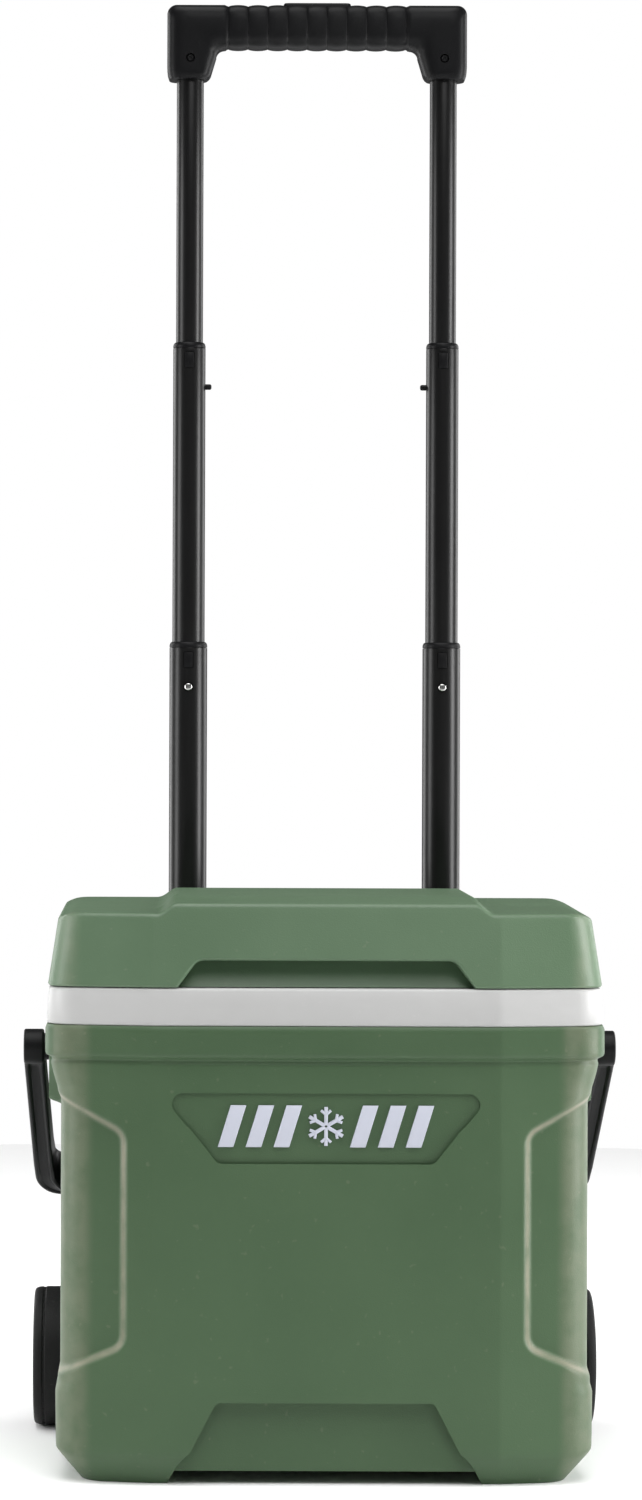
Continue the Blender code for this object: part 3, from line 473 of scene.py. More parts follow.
def copies(name, source, spots, body, look, slot, *nodes):
    """Places a small mesh at every spot with a node tree, and returns the plain mesh they make."""
    tree = bpy.data.node_groups.new(name, "GeometryNodeTree")
    tree.interface.new_socket("Geometry", in_out="INPUT", socket_type="NodeSocketGeometry")
    piece_in = tree.interface.new_socket("Piece", in_out="INPUT", socket_type="NodeSocketObject")
    size_in = tree.interface.new_socket("Size", in_out="INPUT", socket_type="NodeSocketFloat")
    look_in = tree.interface.new_socket("Look", in_out="INPUT", socket_type="NodeSocketMaterial")
    tree.interface.new_socket("Geometry", in_out="OUTPUT", socket_type="NodeSocketGeometry")
    group_in, group_out = tree.nodes.new("NodeGroupInput"), tree.nodes.new("NodeGroupOutput")
    fill_group(
        tree,
        [
            ("piece", "GeometryNodeObjectInfo", {}, {"As Instance": True}),
            ("turn", "GeometryNodeInputNamedAttribute", {"data_type": "FLOAT_VECTOR"}, {"Name": "turn"}),
            ("place", "GeometryNodeInstanceOnPoints", {}, {}),
            ("real", "GeometryNodeRealizeInstances", {}, {}),
            ("look", "GeometryNodeSetMaterial", {}, {}),
        ],
        [
            ((group_in, "Geometry"), ("place", "Points")),
            ((group_in, "Piece"), ("piece", "Object")),
            (("piece", "Geometry"), ("place", "Instance")),
            (("turn", "Attribute"), ("place", "Rotation")),
            ((group_in, "Size"), ("place", "Scale")),
            (("place", "Instances"), ("real", "Geometry")),
            (("real", "Geometry"), ("look", "Geometry")),
            ((group_in, "Look"), ("look", "Material")),
            (("look", "Geometry"), (group_out, "Geometry")),
        ],
    )
    mesh = bpy.data.meshes.new(name)
    mesh.from_pydata([place(*spot) for spot, _ in spots], [], [])
    turn = mesh.attributes.new("turn", "FLOAT_VECTOR", "POINT")
    turn.data.foreach_set("vector", np.array([t for _, t in spots], np.float32).ravel())
    obj = bpy.data.objects.new(name, mesh)
    bpy.context.scene.collection.objects.link(obj)
    modifier = obj.modifiers.new(name, "NODES")
    modifier.node_group = tree
    modifier[piece_in.identifier] = source
    modifier[size_in.identifier] = 1.0
    modifier[look_in.identifier] = look
    settle(obj)
    bpy.data.objects.remove(source)
    return part_of(obj, body, slot, *nodes)


def loose(made):
    """Brings a small piece about its own origin, to be copied into place."""
    made.data.transform(Matrix.Translation((0, -FRONT, 0)))
    return made


def slanted_bar(width, lean, tall):
    """A parallelogram bar with softened front edges; its back is at depth 0."""
    right, top = width / 2, tall / 2
    corners = [(-right - lean, -top), (right - lean, -top), (right + lean, top), (-right + lean, top)]
    rings = []
    for depth, inset in ((0, 0), (-1.3, 0), (-1.75, 0.22), (-2.0, 0.7)):
        narrow, lower = 1 - 2 * inset / (width + 2 * lean), 1 - inset / top
        rings.append(np.array([(u * narrow, depth, v * lower) for u, v in corners]))
    return loose(add_loft("slanted_bar", rings))


def mark_spot(radius, turn, facing):
    """A spot at a clock angle about the mark's middle, with its turn about the depth axis."""
    spot = (radius * math.sin(turn), MARK_BACK, MARK_HEIGHT + radius * math.cos(turn))
    return spot, (0, facing, 0)


bar_spots = [((side * (26 + 19 * k), MARK_BACK, MARK_HEIGHT), (0, 0, 0)) for side in (-1, 1) for k in range(3)]
arm_spots, tip_spots = [], []
for k in range(6):
    turn = math.radians(60 * k)
    arm_spots.append(mark_spot(7, turn, turn))
    for lean in (-1, 1):
        tip_spots.append(mark_spot(9.5, turn + lean * 0.17, turn + lean * math.radians(50)))
copies("mark_bars", slanted_bar(10.6, 4.4, 28.5), bar_spots, "cooler_body", pale, "pale_mark", "emblem")
copies("mark_flake", slanted_bar(2.5, 0, 12.5), arm_spots, "cooler_body", pale, "pale_mark")
copies("mark_flake_tips", slanted_bar(1.9, 0, 4.6), tip_spots, "cooler_body", pale, "pale_mark")


# ---- Liner ----
# The smooth light grey tub, moulded with the wide collar that shows as a
# pale band between the body and the lid.

band_grey = plastic(
    "light grey plastic", (0.46, 0.46, 0.455), (0.53, 0.53, 0.525), (0.62, 0.61, 0.60), 0.4,
    pebble=1500.0, bump=0.02, speck=0.15,
)
liner_steps = (40, 16, 12, 8, 6, 6, 8, 16)


def tub_ring(z, half, front, rear, radius=28.0):
    """A plain round-cornered ring, for the tub and the lid's plug."""
    return ring_at(z, half, front, rear, front_radius=radius, rear_radius=radius, bow=0.0, steps=liner_steps)


def band_ring(z, half, front, rear, rear_radius=4.0):
    """A ring with the body's faceted front, for the collar."""
    return ring_at(z, half, front, rear, rear_radius=rear_radius, steps=liner_steps)


liner_rings = [
    tub_ring(35.5, 149, 33, 209, 25), tub_ring(36.4, 151.6, 30.4, 211.6), tub_ring(38, 152.6, 29.4, 212.6),
    tub_ring(334, 158.3, 25.7, 216.3), tub_ring(336.1, 158.5, 25.5, 216.5),
    band_ring(336.1, 186.9, 4.7, 227.5, 3), band_ring(313.3, 188.4, 3.5, 227.5, 3),
    band_ring(313.3, 190.2, 2.0, 229.4), band_ring(314.4, 191.1, 1.1, 230),
    band_ring(336.8, 190.0, 2.0, 230), band_ring(338.0, 189.5, 2.5, 229.7),
    band_ring(338.7, 188.2, 3.4, 229), tub_ring(338.7, 158, 26, 216), tub_ring(338.2, 156.6, 27.4, 214.6),
    tub_ring(336.6, 156, 28, 214), tub_ring(50, 150.4, 31.6, 210.4), tub_ring(42, 149.4, 32.6, 209.4, 27),
    tub_ring(39, 146.5, 35.5, 206.5, 25), tub_ring(38, 142, 40, 202, 22),
]
liner = add_loft("liner", liner_rings, band_grey, smooth_angle=50)
part_of(liner, "cooler_body", "light_grey_plastic", "body_liner")


# ---- Lid ----
# A deep green cap over foam: leaning walls, a raised middle with sloping
# sides, chamfered ends and a finger recess under its front edge.

# The same plastic as the body, made lighter as painted light on the leaning lid that catches the overhead
# light.
lit_lid_green = plastic(
    "green plastic, lighter copy for painted light", (0.082, 0.140, 0.078), (0.108, 0.178, 0.103), (0.33, 0.32, 0.25), 0.44,
    pebble=1100.0, bump=0.06, speck=0.10,
)
LID_BOTTOM = 339.3
LID_FRONT, LID_REAR = 1.6, 226.0
DRAFT = 0.15
lid_steps = tuple(max(4, n // FINE) for n in (76, 30, 14, 16, 14, 8, 10, 50))


def lid_top(x, depth):
    """Height of the lid's upper surface."""
    side = 389.4 + 4.0 * depth / LID_REAR
    middle = 396.6 + 3.4 * eased((depth - 8) / 55) + 0.4 * np.clip((depth - 60) / 160, 0, 1)
    raised = eased((115.2 - np.abs(x)) / 13.4)
    height = side + (middle - side) * raised
    chamfer = side - (np.abs(x) - 173.0) * 0.41
    height = np.minimum(height, chamfer) - 0.5 * np.exp(-np.abs(height - chamfer) / 1.2)
    rear = 400.4 - (depth - 213.5) * 0.85
    return np.minimum(height, rear) - 0.5 * np.exp(-np.abs(height - rear) / 1.2)


def lid_plan(inset, rear_inset):
    """The lid's outline at its foot, brought in all round and at the rear."""
    return plan_ring(190.6 - inset, LID_FRONT + inset, LID_REAR - rear_inset, rear_radius=12.0, steps=lid_steps)


lid_outline = lid_plan(0, 0)
step_in, step_forward = lid_plan(1, 0) - lid_outline, lid_plan(0, 1) - lid_outline


def lid_rings(wall=0.0, bottom=LID_BOTTOM, round_by=3.2):
    """Rings up the leaning walls, over the rounded edge and in over the top."""
    level = np.full(len(lid_outline), 385.0)
    for _ in range(8):
        shift = DRAFT * (level - LID_BOTTOM) + wall + round_by
        plan = lid_outline + shift[:, None] * step_in
        plan += (wall + round_by) * step_forward
        level = lid_top(*plan.T) - wall
    rings = []
    steps = [(0.0, 0)] + [(k / 16, 0) for k in range(1, 17)] + [(1.0, 15 * k) for k in range(1, 7)]
    for rise, turn in steps:
        swing = math.radians(turn)
        z = bottom + rise * (level - round_by - bottom) + round_by * math.sin(swing)
        inward = round_by * (1 - math.cos(swing))
        shift = DRAFT * (z - LID_BOTTOM) + wall + inward
        if rise == 0 and not wall:
            shift = shift + 0.9
        if rise == 1 / 16:
            z = np.full(len(level), bottom + 1.2)
            shift = DRAFT * (z - LID_BOTTOM) + wall
        plan = lid_outline + shift[:, None] * step_in
        plan += (wall + inward) * step_forward
        rings.append(np.column_stack([plan, z]))
    rim = rings[-1][:, :2]
    aim = np.column_stack([np.clip(rim[:, 0], -62, 62), np.full(len(rim), 112.0)])
    shares = np.concatenate([np.linspace(0.01, 0.2, 12), np.linspace(0.24, 1.0, 24 // FINE)])
    for share in shares:
        plan = rim + (aim - rim) * share
        rings.append(np.column_stack([plan, lid_top(*plan.T) - wall]))
    return rings


def recess_cutter(name, grow, deep):
    """The finger recess, with a softened lip that follows the leaning front."""
    rings = []
    for depth, more in ((-4, 2.4), (-0.6, 2.4), (0.1, 1.3), (0.9, 0.45), (2.0, 0.0), (deep, -0.6)):
        size = grow + more
        outline = mirrored([(108.5 + size, 330), *arc(92.4 - 9, 357.6 - 9, 9 + size, 28, 90, 8)])
        slope = 0.42 if depth == deep else 0.0
        rings.append(np.array([
            (x, LID_FRONT + DRAFT * (z - LID_BOTTOM) + depth + slope * (min(z, 357) - 357), z)
            for x, z in outline
        ]))
    return add_loft(name, rings)


lid_skin = add_loft("lid_skin", lid_rings(), lit_lid_green, smooth_angle=40)
spots = [vert.co for vert in lid_skin.data.vertices]
# Painted highlight down the lid's rounded front corners, stored as its edge mask.
store_edge_highlight(lid_skin, [
    0.22 * max(0.0, 1 - abs(abs(co.x / MM) - 176) / 9) * ((co.y - FRONT) / MM < 34) for co in spots
])
lid_hollow = add_loft("lid_hollow", lid_rings(2.6, LID_BOTTOM - 5))
combine(lid_hollow, "DIFFERENCE", recess_cutter("recess_room", 2.4, 19.8))
combine(lid_skin, "DIFFERENCE", lid_hollow, recess_cutter("recess", 0, 17.4))
part_of(lid_skin, "lid", "green_plastic", "lid_shell")

# The lid's underside is a light grey pan whose plug fits into the tub.
pan_rings = [
    tub_ring(327, 146, 40.5, 205, 24), tub_ring(327.6, 149.4, 37.1, 208.4, 27),
    tub_ring(329.4, 150.6, 35.9, 209.6), tub_ring(338.8, 151.9, 34.6, 210.9), tub_ring(339.6, 153, 33.5, 212),
    band_ring(339.6, 186.8, 4.9, 222.8, 12), band_ring(341.6, 186.6, 5.1, 222.8, 12),
    tub_ring(341.6, 150, 36.5, 209), tub_ring(329, 148.5, 38, 207.5),
]
lid_pan = add_loft("lid_pan", pan_rings, band_grey, smooth_angle=50)
combine(lid_pan, "DIFFERENCE", recess_cutter("pan_recess", 2.8, 20.2), smooth_angle=50)
part_of(lid_pan, "lid", "light_grey_plastic", "lid_liner")


# ---- Insulation ----
# Rigid foam poured between shell and liner, and into the lid. It is sealed in
# and shows only when the cooler is taken apart.

foam_look = plastic(
    "insulating foam", (0.62, 0.56, 0.40), (0.74, 0.69, 0.52), (0.8, 0.76, 0.62), 0.85, pebble=260.0, bump=0.25
)


def dress(names, look):
    """Gives CAD pieces whose shape is right their finish."""
    for name in names:
        mesh = frame["nodes"][name].data
        mesh.materials.clear()
        mesh.materials.append(look)


dress(["body_foam", "lid_foam"], foam_look)


# ---- Rear deck and its hinge towers ----
# A black moulding screwed down behind the lid. It guides the handle's tubes
# and carries the two towers that the lid turns on.

black = plastic(
    "black moulded plastic", (0.0050, 0.0052, 0.0058), (0.0085, 0.0085, 0.009), (0.028, 0.028, 0.028), 0.4,
    pebble=1400.0, bump=0.035, speck=0.1, Specular_IOR_Level=0.13,
)
DECK_LOW, DECK_TOP = 313.3, 321.0
HINGE = Vector(frame["joints"][0]["pos_m"])
HINGE_DEPTH, HINGE_HEIGHT = (HINGE.y - FRONT) / MM, HINGE.z / MM
HINGE_SIDE = 55


def bevelled(obj, width, segments=3):
    """Rounds the edges that are sharper than 30 degrees."""
    modifier = obj.modifiers.new("bevel", "BEVEL")
    modifier.width = width * MM
    modifier.segments = segments
    modifier.limit_method = "ANGLE"
    modifier.angle_limit = math.radians(30)
    return settle(obj, 40)


def oblong(left, right, low, high):
    """A rectangle's corners, anticlockwise."""
    return [(left, low), (right, low), (right, high), (left, high)]


def pin_room(name, x, half_length):
    """A cutter for the hinge pin's hole, along X."""
    outline = arc(HINGE_DEPTH, HINGE_HEIGHT, 2.8, 0, 360, 32)[:-1]
    return prism(name, outline, x - half_length, x + half_length, "side")


def deck_ring(z, inset):
    """The deck's outline, square in front and round behind."""
    right = [(190.4 - inset, 230.6 + inset)] + arc(166.4, 260.4, 24 - inset, 0, 90, 12)
    return np.array([(x, y, z) for x, y in mirrored(right)])


deck_steps = ((DECK_LOW, 0), (DECK_TOP - 1.2, 0), (DECK_TOP - 0.35, 0.35), (DECK_TOP, 1.2))
deck = add_loft("rear_deck", [deck_ring(*step) for step in deck_steps], black)
groove = prism("groove", oblong(-78, 78, DECK_TOP - 1, DECK_TOP + 4), 262, 270)
combine(deck, "DIFFERENCE", groove, *tube_rooms("deck_way", SLEEVE_ROOM, 300, 340))
part_of(deck, "cooler_body", "black_plastic", "rear_housing")

tower = [(HINGE_DEPTH + 11, DECK_TOP - 2), (HINGE_DEPTH + 9, DECK_TOP + 20), (HINGE_DEPTH + 7, HINGE_HEIGHT)]
tower += arc(HINGE_DEPTH, HINGE_HEIGHT, 7, 20, 180, 14)
tower += [(HINGE_DEPTH - 5, DECK_TOP + 12), (HINGE_DEPTH - 5.2, DECK_TOP - 2)]
for word, side in SIDES:
    x = side * HINGE_SIDE
    tower_piece = bevelled(prism(f"hinge_tower_{word}", tower, x - 11, x + 11, "side", black), 1.0)
    rib_room = prism("rib_room", [(x - 7.5, 324), (x + 7.5, 324), (x + 6, 374), (x - 6, 374)], 243.2, 260)
    combine(tower_piece, "DIFFERENCE", pin_room("pin_way", x, 15), rib_room)
    part_of(tower_piece, "cooler_body", "black_plastic")

# The lid's half of each hinge: a plate on the lid's rear wall with two ears.
ear = arc(HINGE_DEPTH, HINGE_HEIGHT, 7, -60, 120, 16)
ear += [(HINGE_DEPTH - 8.5, HINGE_HEIGHT + 6), (HINGE_DEPTH - 9.6, HINGE_HEIGHT + 3)]
ear += [(HINGE_DEPTH - 9.6, HINGE_HEIGHT - 22), (HINGE_DEPTH - 7.6, HINGE_HEIGHT - 22)]
slot = oblong(HINGE_DEPTH - 7.4, HINGE_DEPTH + 20, HINGE_HEIGHT - 30, HINGE_HEIGHT + 30)
for word, side in SIDES:
    x = side * HINGE_SIDE
    leaf = prism(f"hinge_leaf_{word}", ear, x - 16.5, x + 16.5, "side", black)
    combine(leaf, "DIFFERENCE", prism("slot", slot, x - 11.4, x + 11.4, "side"), pin_room("leaf_way", x, 20))
    bevelled(leaf, 0.4, 2)
    part_of(leaf, "lid", "black_plastic", f"lid_hinge_{word}")


# ---- Bright fixings ----
# Zinc-plated hinge pins, deck screws, stub axles and push nuts. Their brushed
# skin has a slight blue-yellow drift in slow patches of tone.

def metal(name, dark, light, roughness, stretch, bump, metallic=1.0, specular=0.5):
    """A drawn metal: fine streaks along one axis over slow patches of tone."""
    look, shader = new_look(name, light)
    shader.inputs["Metallic"].default_value = metallic
    shader.inputs["Specular IOR Level"].default_value = specular
    fill_group(
        look.node_tree,
        [
            ("where", "ShaderNodeTexCoord", {}, {}),
            ("along", "ShaderNodeMapping", {}, {"Scale": stretch}),
            ("streak", "ShaderNodeTexNoise", {}, {"Scale": 1.0, "Detail": 3.0}),
            ("grain", "ShaderNodeGroup", {"node_tree": grain_group},
             {"Pebble scale": 1800.0, "Patch scale": 30.0}),
            ("tone", "ShaderNodeMix", {"data_type": "RGBA"}, {FIRST: (*dark, 1), SECOND: (*light, 1)}),
            ("gloss", "ShaderNodeMapRange", {}, {"To Min": roughness - 0.05, "To Max": roughness + 0.08}),
            ("bump", "ShaderNodeBump", {}, {"Strength": bump, "Distance": 0.0002}),
        ],
        [
            (("where", "Object"), ("along", "Vector")),
            (("along", "Vector"), ("streak", "Vector")),
            (("streak", "Fac"), ("gloss", "Value")),
            (("streak", "Fac"), ("bump", "Height")),
            (("gloss", "Result"), (shader, "Roughness")),
            (("bump", "Normal"), (shader, "Normal")),
            (("grain", "Patches"), ("tone", 0)),
            (("tone", MIXED), (shader, "Base Color")),
        ],
    )
    return look


zinc = metal("zinc plate", (0.42, 0.42, 0.43), (0.62, 0.62, 0.60), 0.32, (300, 300, 3000), 0.08)


def turned(name, profile, centre, axis, look=None, segments=64):
    """A closed (radius, distance) profile turned about an axis through a point in millimetres."""
    turn = Vector((0, 0, 1)).rotation_difference(Vector(axis)).to_matrix()
    angles = np.linspace(0, 2 * math.pi, segments, endpoint=False)
    points, faces = [], []
    for angle in angles:
        for radius, distance in profile:
            spot = turn @ Vector((radius * math.cos(angle), radius * math.sin(angle), distance))
            points.append((spot.x + centre[0], spot.y + centre[1], spot.z + centre[2]))
    count = len(profile)
    for k in range(segments):
        here, there = k * count, (k + 1) % segments * count
        for i in range(count):
            j = (i + 1) % count
            if profile[i][0] > 0 or profile[j][0] > 0:
                faces.append((here + i, there + i, there + j, here + j))
    return add_mesh(name, points, faces, look)


def softened(profile, radius, steps=3):
    """The profile with its corners rounded, apart from those on the axis."""
    made = []
    count = len(profile)
    for i, corner in enumerate(profile):
        before, after = Vector(profile[i - 1]), Vector(profile[(i + 1) % count])
        here = Vector(corner)
        reach = min(radius, (before - here).length / 2.2, (after - here).length / 2.2)
        if corner[0] <= 0 or reach < 0.02:
            made.append(tuple(here))
            continue
        start = here + (before - here).normalized() * reach
        end = here + (after - here).normalized() * reach
        for k in range(steps + 1):
            share = k / steps
            made.append(tuple((1 - share) ** 2 * start + 2 * share * (1 - share) * here + share ** 2 * end))
    return made


pin = [(0, -17.5), (1.6, -17.5), (2.5, -16.6), (2.5, 16.6), (1.6, 17.5), (0, 17.5)]
for word, side in SIDES:
    spot = (side * HINGE_SIDE, HINGE_DEPTH, HINGE_HEIGHT)
    part_of(turned(f"hinge_pin_visual_{word}", pin, spot, (1, 0, 0), zinc, 32), "cooler_body", "bright_steel",
            f"hinge_pin_{word}")

screw_profile = [(0, -18), (1.2, -18), (1.8, -17), (1.8, 0.3), (4.2, 0.3), (4.2, 1.3)]
screw_profile += [(3.7, 2.2), (2.6, 2.8), (1.9, 2.9), (1.9, 1.4), (0, 1.4)]
screw = loose(turned("screw", softened(screw_profile, 0.25, 2), (0, 0, 0), (0, 0, 1), None, 24))
screw_spots = [((x, 276, DECK_TOP), (0, 0, x * 0.01)) for x in (-140, -34, 34, 140)]
screw_nodes = [f"deck_screw_{k}" for k in range(1, 5)]
copies("deck_screws", screw, screw_spots, "cooler_body", zinc, "bright_steel", *screw_nodes)

sleeve = [(14.35, 14), (16.5, 14), (16.5, 321.3), (19.5, 321.3), (19.5, 323.9), (18.6, 325.2), (17.4, 326)]
sleeve = softened(sleeve + [(15.2, 326), (14.35, 325.2)], 0.5)
for word, side in SIDES:
    guide = turned(f"tube_guide_{word}", sleeve, (side * TUBE_SIDE, TUBE_DEPTH, 0), (0, 0, 1), black)
    part_of(guide, "cooler_body", "black_plastic", f"guide_sleeve_{word}")


# ---- Bail ----
# A black moulded carrying handle, hanging behind the cooler. Its arms have a
# shallow channel down their narrow faces and round eyes at the pivots.

BAIL = Vector(frame["joints"][1]["pos_m"])
BAIL_DEPTH, BAIL_HEIGHT = (BAIL.y - FRONT) / MM, BAIL.z / MM
bail_out = Vector((0, 295 - BAIL_DEPTH, 181 - BAIL_HEIGHT))
BAIL_REACH = bail_out.length
bail_along = bail_out.normalized()
BAIL_HALF, BAIL_END_HALF = 203.5, 199.3
bail_lean = (BAIL_HALF - BAIL_END_HALF) / BAIL_REACH


def bail_section():
    """A rounded oblong with a shallow channel in each narrow face; 1 is half of each side."""
    quarter = [(1, 0.0), (1, 0.35), (1, 0.7), (0.985, 0.86), (0.93, 0.95), (0.84, 0.99), (0.72, 1.0)]
    quarter += [(0.6, 0.99), (0.5, 0.93), (0.42, 0.88), (0.2, 0.87), (0, 0.87)]
    right = quarter + [(-a, u) for a, u in reversed(quarter[:-1])]
    return right + [(-a, -u) for a, u in right[1:-1]]


def bail_path():
    """(x, distance from the pivots, half height) down one arm, along the bar and up the other."""
    radius = 22.0
    half = [(BAIL_HALF - bail_lean * r, r, 11.0 + 3.2 * r / BAIL_REACH) for r in np.linspace(0, 150, 14)]
    bend = arc(BAIL_END_HALF - radius, BAIL_REACH - radius, radius, 0, 90, 14)
    half += [(x, r, 14.2) for x, r in bend]
    half += [(x, BAIL_REACH, 14.2) for x in np.linspace(170, 8, 18)]
    return half + [(-x, r, tall) for x, r, tall in reversed(half)]


def bail_rings():
    """The section swept along the bail's path, with finger ripples under the bar's middle."""
    path = bail_path()
    pivot = Vector((0, BAIL_DEPTH, BAIL_HEIGHT))
    spots = [pivot + Vector((x, 0, 0)) + bail_along * r for x, r, _ in path]
    rings = []
    for i, (x, r, tall_half) in enumerate(path):
        run = (spots[min(i + 1, len(path) - 1)] - spots[max(i - 1, 0)]).normalized()
        share = abs(run.dot(bail_along))
        tall = Vector((0, 0, 1)) * (1 - share) + Vector((0, -bail_along.z, bail_along.y)) * share
        tall = (tall - run * tall.dot(run)).normalized()
        wide = run.cross(tall)
        thick = 7.3 * share + 8.7 * (1 - share)
        finger = 0.35 * math.cos(x / 9.5 * math.pi) * (abs(x) < 48) * (r > BAIL_REACH - 2)
        rings.append(np.array([
            spots[i] + wide * a * (thick + finger) + tall * u * (tall_half + finger) for a, u in bail_section()
        ]))
    return rings


bail = add_loft("bail", bail_rings(), black, smooth_angle=45)
eye = [(0, 196.4), (11.6, 196.4), (12.5, 197.3), (12.5, 209.8), (11.6, 210.7), (0, 210.7)]
hub = [(0, 193), (9.5, 193), (9.5, 200), (0, 200)]
bore = [(0, 190), (4.3, 190), (4.3, 205.4), (7.5, 205.4), (7.9, 215), (0, 215)]
head = [(0, 186.6), (4, 186.6), (4, 205.7), (7, 205.7), (7, 208), (6.2, 209), (4.8, 209.4), (2.6, 209.4)]
head = softened(head + [(2.6, 208.2), (0, 208.2)], 0.3)
for word, side in SIDES:
    pivot_line = (0, BAIL_DEPTH, BAIL_HEIGHT), (side, 0, 0)
    combine(bail, "UNION", turned("eye", softened(eye, 0.6), *pivot_line), turned("hub", hub, *pivot_line),
            smooth_angle=40)
    combine(bail, "DIFFERENCE", turned("bore", bore, *pivot_line), smooth_angle=40)
    pivot = turned(f"bail_pivot_{word}", head, *pivot_line, black, 48)
    part_of(pivot, "cooler_body", "black_plastic", f"bail_pin_{word}")
part_of(bail, "bail", "black_plastic", "bail_handle")


# ---- Wheels ----
# Black moulded wheels with ribbed webs, turning on stub axles. The tread is a
# harder tyre with a flat face, a bead groove and small notches at its edge.

tyre_black = plastic(
    "tyre", (0.0070, 0.0070, 0.0072), (0.012, 0.012, 0.012), (0.045, 0.045, 0.043), 0.55,
    pebble=700.0, bump=0.09, speck=0.35, Specular_IOR_Level=0.2,
)


def around(count, radius, side, distance):
    """Spots round a wheel's axis, each turned to face outwards."""
    spots = []
    for k in range(count):
        turn = 2 * math.pi * k / count
        spot = (side * distance, WHEEL_DEPTH + radius * math.cos(turn), WHEEL_HEIGHT + radius * math.sin(turn))
        spots.append((spot, (turn, 0, 0)))
    return spots


def block(name, size, soften):
    """A small softened block about the origin, its sizes in millimetres."""
    half = [s / 2 for s in size]
    rings = []
    for z, inset in ((-half[2], soften), (-half[2] + soften, 0), (half[2] - soften, 0), (half[2], soften)):
        x, y = half[0] - inset, half[1] - inset
        rings.append(np.array([(-x, -y, z), (x, -y, z), (x, y, z), (-x, y, z)]))
    return loose(add_loft(name, rings))


tread = [(44.3, 171.5), (46.5, 170.5), (49.2, 171.2), (50.4, 173), (51, 176), (51, 197.4), (50.1, 198)]
tread += [(50.1, 199.2), (50.8, 199.8), (50.6, 202.8), (49.8, 205), (48.4, 206), (46.5, 206.3), (44.3, 205.3)]
rim = [(5.3, 170.6), (12, 170.6), (12, 184), (36, 186), (38, 174), (44, 172), (44, 204.8), (41, 204.8)]
rim += [(38, 203), (37, 191), (16, 190), (16, 200.8), (12, 200.8), (12, 193.8), (5.3, 193.8)]
cap = [(0, 199.2), (11.7, 199.2), (11.7, 201.1), (16, 201.1), (16, 202.2), (14.6, 203.4), (11, 204.3)]
cap += [(9.5, 204.0), (6, 204.4), (0, 204.6)]
axle = [(0, 122), (4.2, 122), (5, 122.8), (5, 167.4), (9, 167.4), (9, 170), (5, 170), (5, 197.3), (4.2, 198.1)]
axle += [(0, 198.1)]
nut = [(5.4, 194.2), (9.5, 194.2), (9.5, 195.8), (7, 197.2), (5.4, 197.2)]


def on_axle(name, side, profile, rounding, look, segments):
    """A piece turned about the wheels' axis."""
    middle = (0, WHEEL_DEPTH, WHEEL_HEIGHT)
    return turned(name, softened(profile, rounding), middle, (side, 0, 0), look, segments)


for word, side in SIDES:
    body = f"wheel_{word}"
    part_of(on_axle(f"tyre_{word}", side, tread, 0.7, tyre_black, 96), body, "black_tyre", f"wheel_tyre_{word}")
    tread_notch = block("notch", (1.5, 0.5, 4.4), 0.12)
    notch_spots = around(40, 50.15, side, 198.6)
    copies(f"tread_notches_{word}", tread_notch, notch_spots, body, tyre_black, "black_tyre")
    part_of(on_axle(f"wheel_{word}_web", side, rim, 0.7, black, 96), body, "black_plastic", f"wheel_hub_{word}")
    rib = block("rib", (10.5, 22.5, 2.6), 0.4)
    copies(f"wheel_ribs_{word}", rib, around(10, 26.6, side, 194.8), body, black, "black_plastic")
    part_of(on_axle(f"wheel_cap_{word}", side, cap, 0.3, black, 64), body, "black_plastic", f"hub_cap_{word}")
    fixings = (("axle", axle, 0.3, "stub_axle"), ("push_nut", nut, 0.25, "axle_push_nut"))
    for name, profile, rounding, node in fixings:
        piece = on_axle(f"{name}_{word}", side, profile, rounding, zinc, 32)
        part_of(piece, "cooler_body", "bright_steel", f"{node}_{word}")


# ---- Telescoping tubes ----
# Three pairs of aluminium tubes in a satin black coating, each with a plastic
# bush in its mouth that snaps into a window, and a spring pin that locks it.

tube_coat = metal(
    "black coated tube", (0.0045, 0.0045, 0.0048), (0.0075, 0.0075, 0.0075), 0.3, (900, 900, 12), 0.04,
    metallic=0.0, specular=0.3,
)
WALL = 1.0
INNER_R, MIDDLE_R, OUTER_R = 10.0, 12.0, 14.0
MIDDLE_PIN, OUTER_PIN = 770.6, 547.6


def tube(name, side, radius, low, high):
    """A thin-walled tube with eased ends."""
    profile = [(radius - WALL, low), (radius, low), (radius, high), (radius - WALL, high)]
    return turned(name, softened(profile, 0.25, 2), (side * TUBE_SIDE, TUBE_DEPTH, 0), (0, 0, 1), tube_coat, 72)


def rounded_oblong(half_width, half_height, radius, steps):
    """Round corners anticlockwise from the upper right, about their own middle."""
    w, h = half_width - radius, half_height - radius
    corners = ((w, h, 0), (-w, h, 90), (-w, -h, 180), (w, -h, 270))
    return [spot for u, v, start in corners for spot in arc(u, v, radius, start, start + 90, steps)]


def window(side, radius, z):
    """The window that a bush snaps into: an upright oblong with small round corners."""
    outline = [(side * TUBE_SIDE + u, z + v) for u, v in rounded_oblong(3.8, 6.4, 1.2, 4)]
    return prism("window", outline, TUBE_DEPTH - radius - 3, TUBE_DEPTH - radius + 4)


def cross_hole(side, radius, z, hole, towards):
    """A round hole through one wall, facing the front or the other tube."""
    if towards == "front":
        outline = [(side * TUBE_SIDE + u, v) for u, v in arc(0, z, hole, 0, 360, 28)[:-1]]
        return prism("hole", outline, TUBE_DEPTH - radius - 3, TUBE_DEPTH - radius + 4)
    start, end = side * (TUBE_SIDE - radius - 3), side * (TUBE_SIDE - radius + 4)
    return prism("hole", arc(TUBE_DEPTH, z, hole, 0, 360, 28)[:-1], start, end, "side")


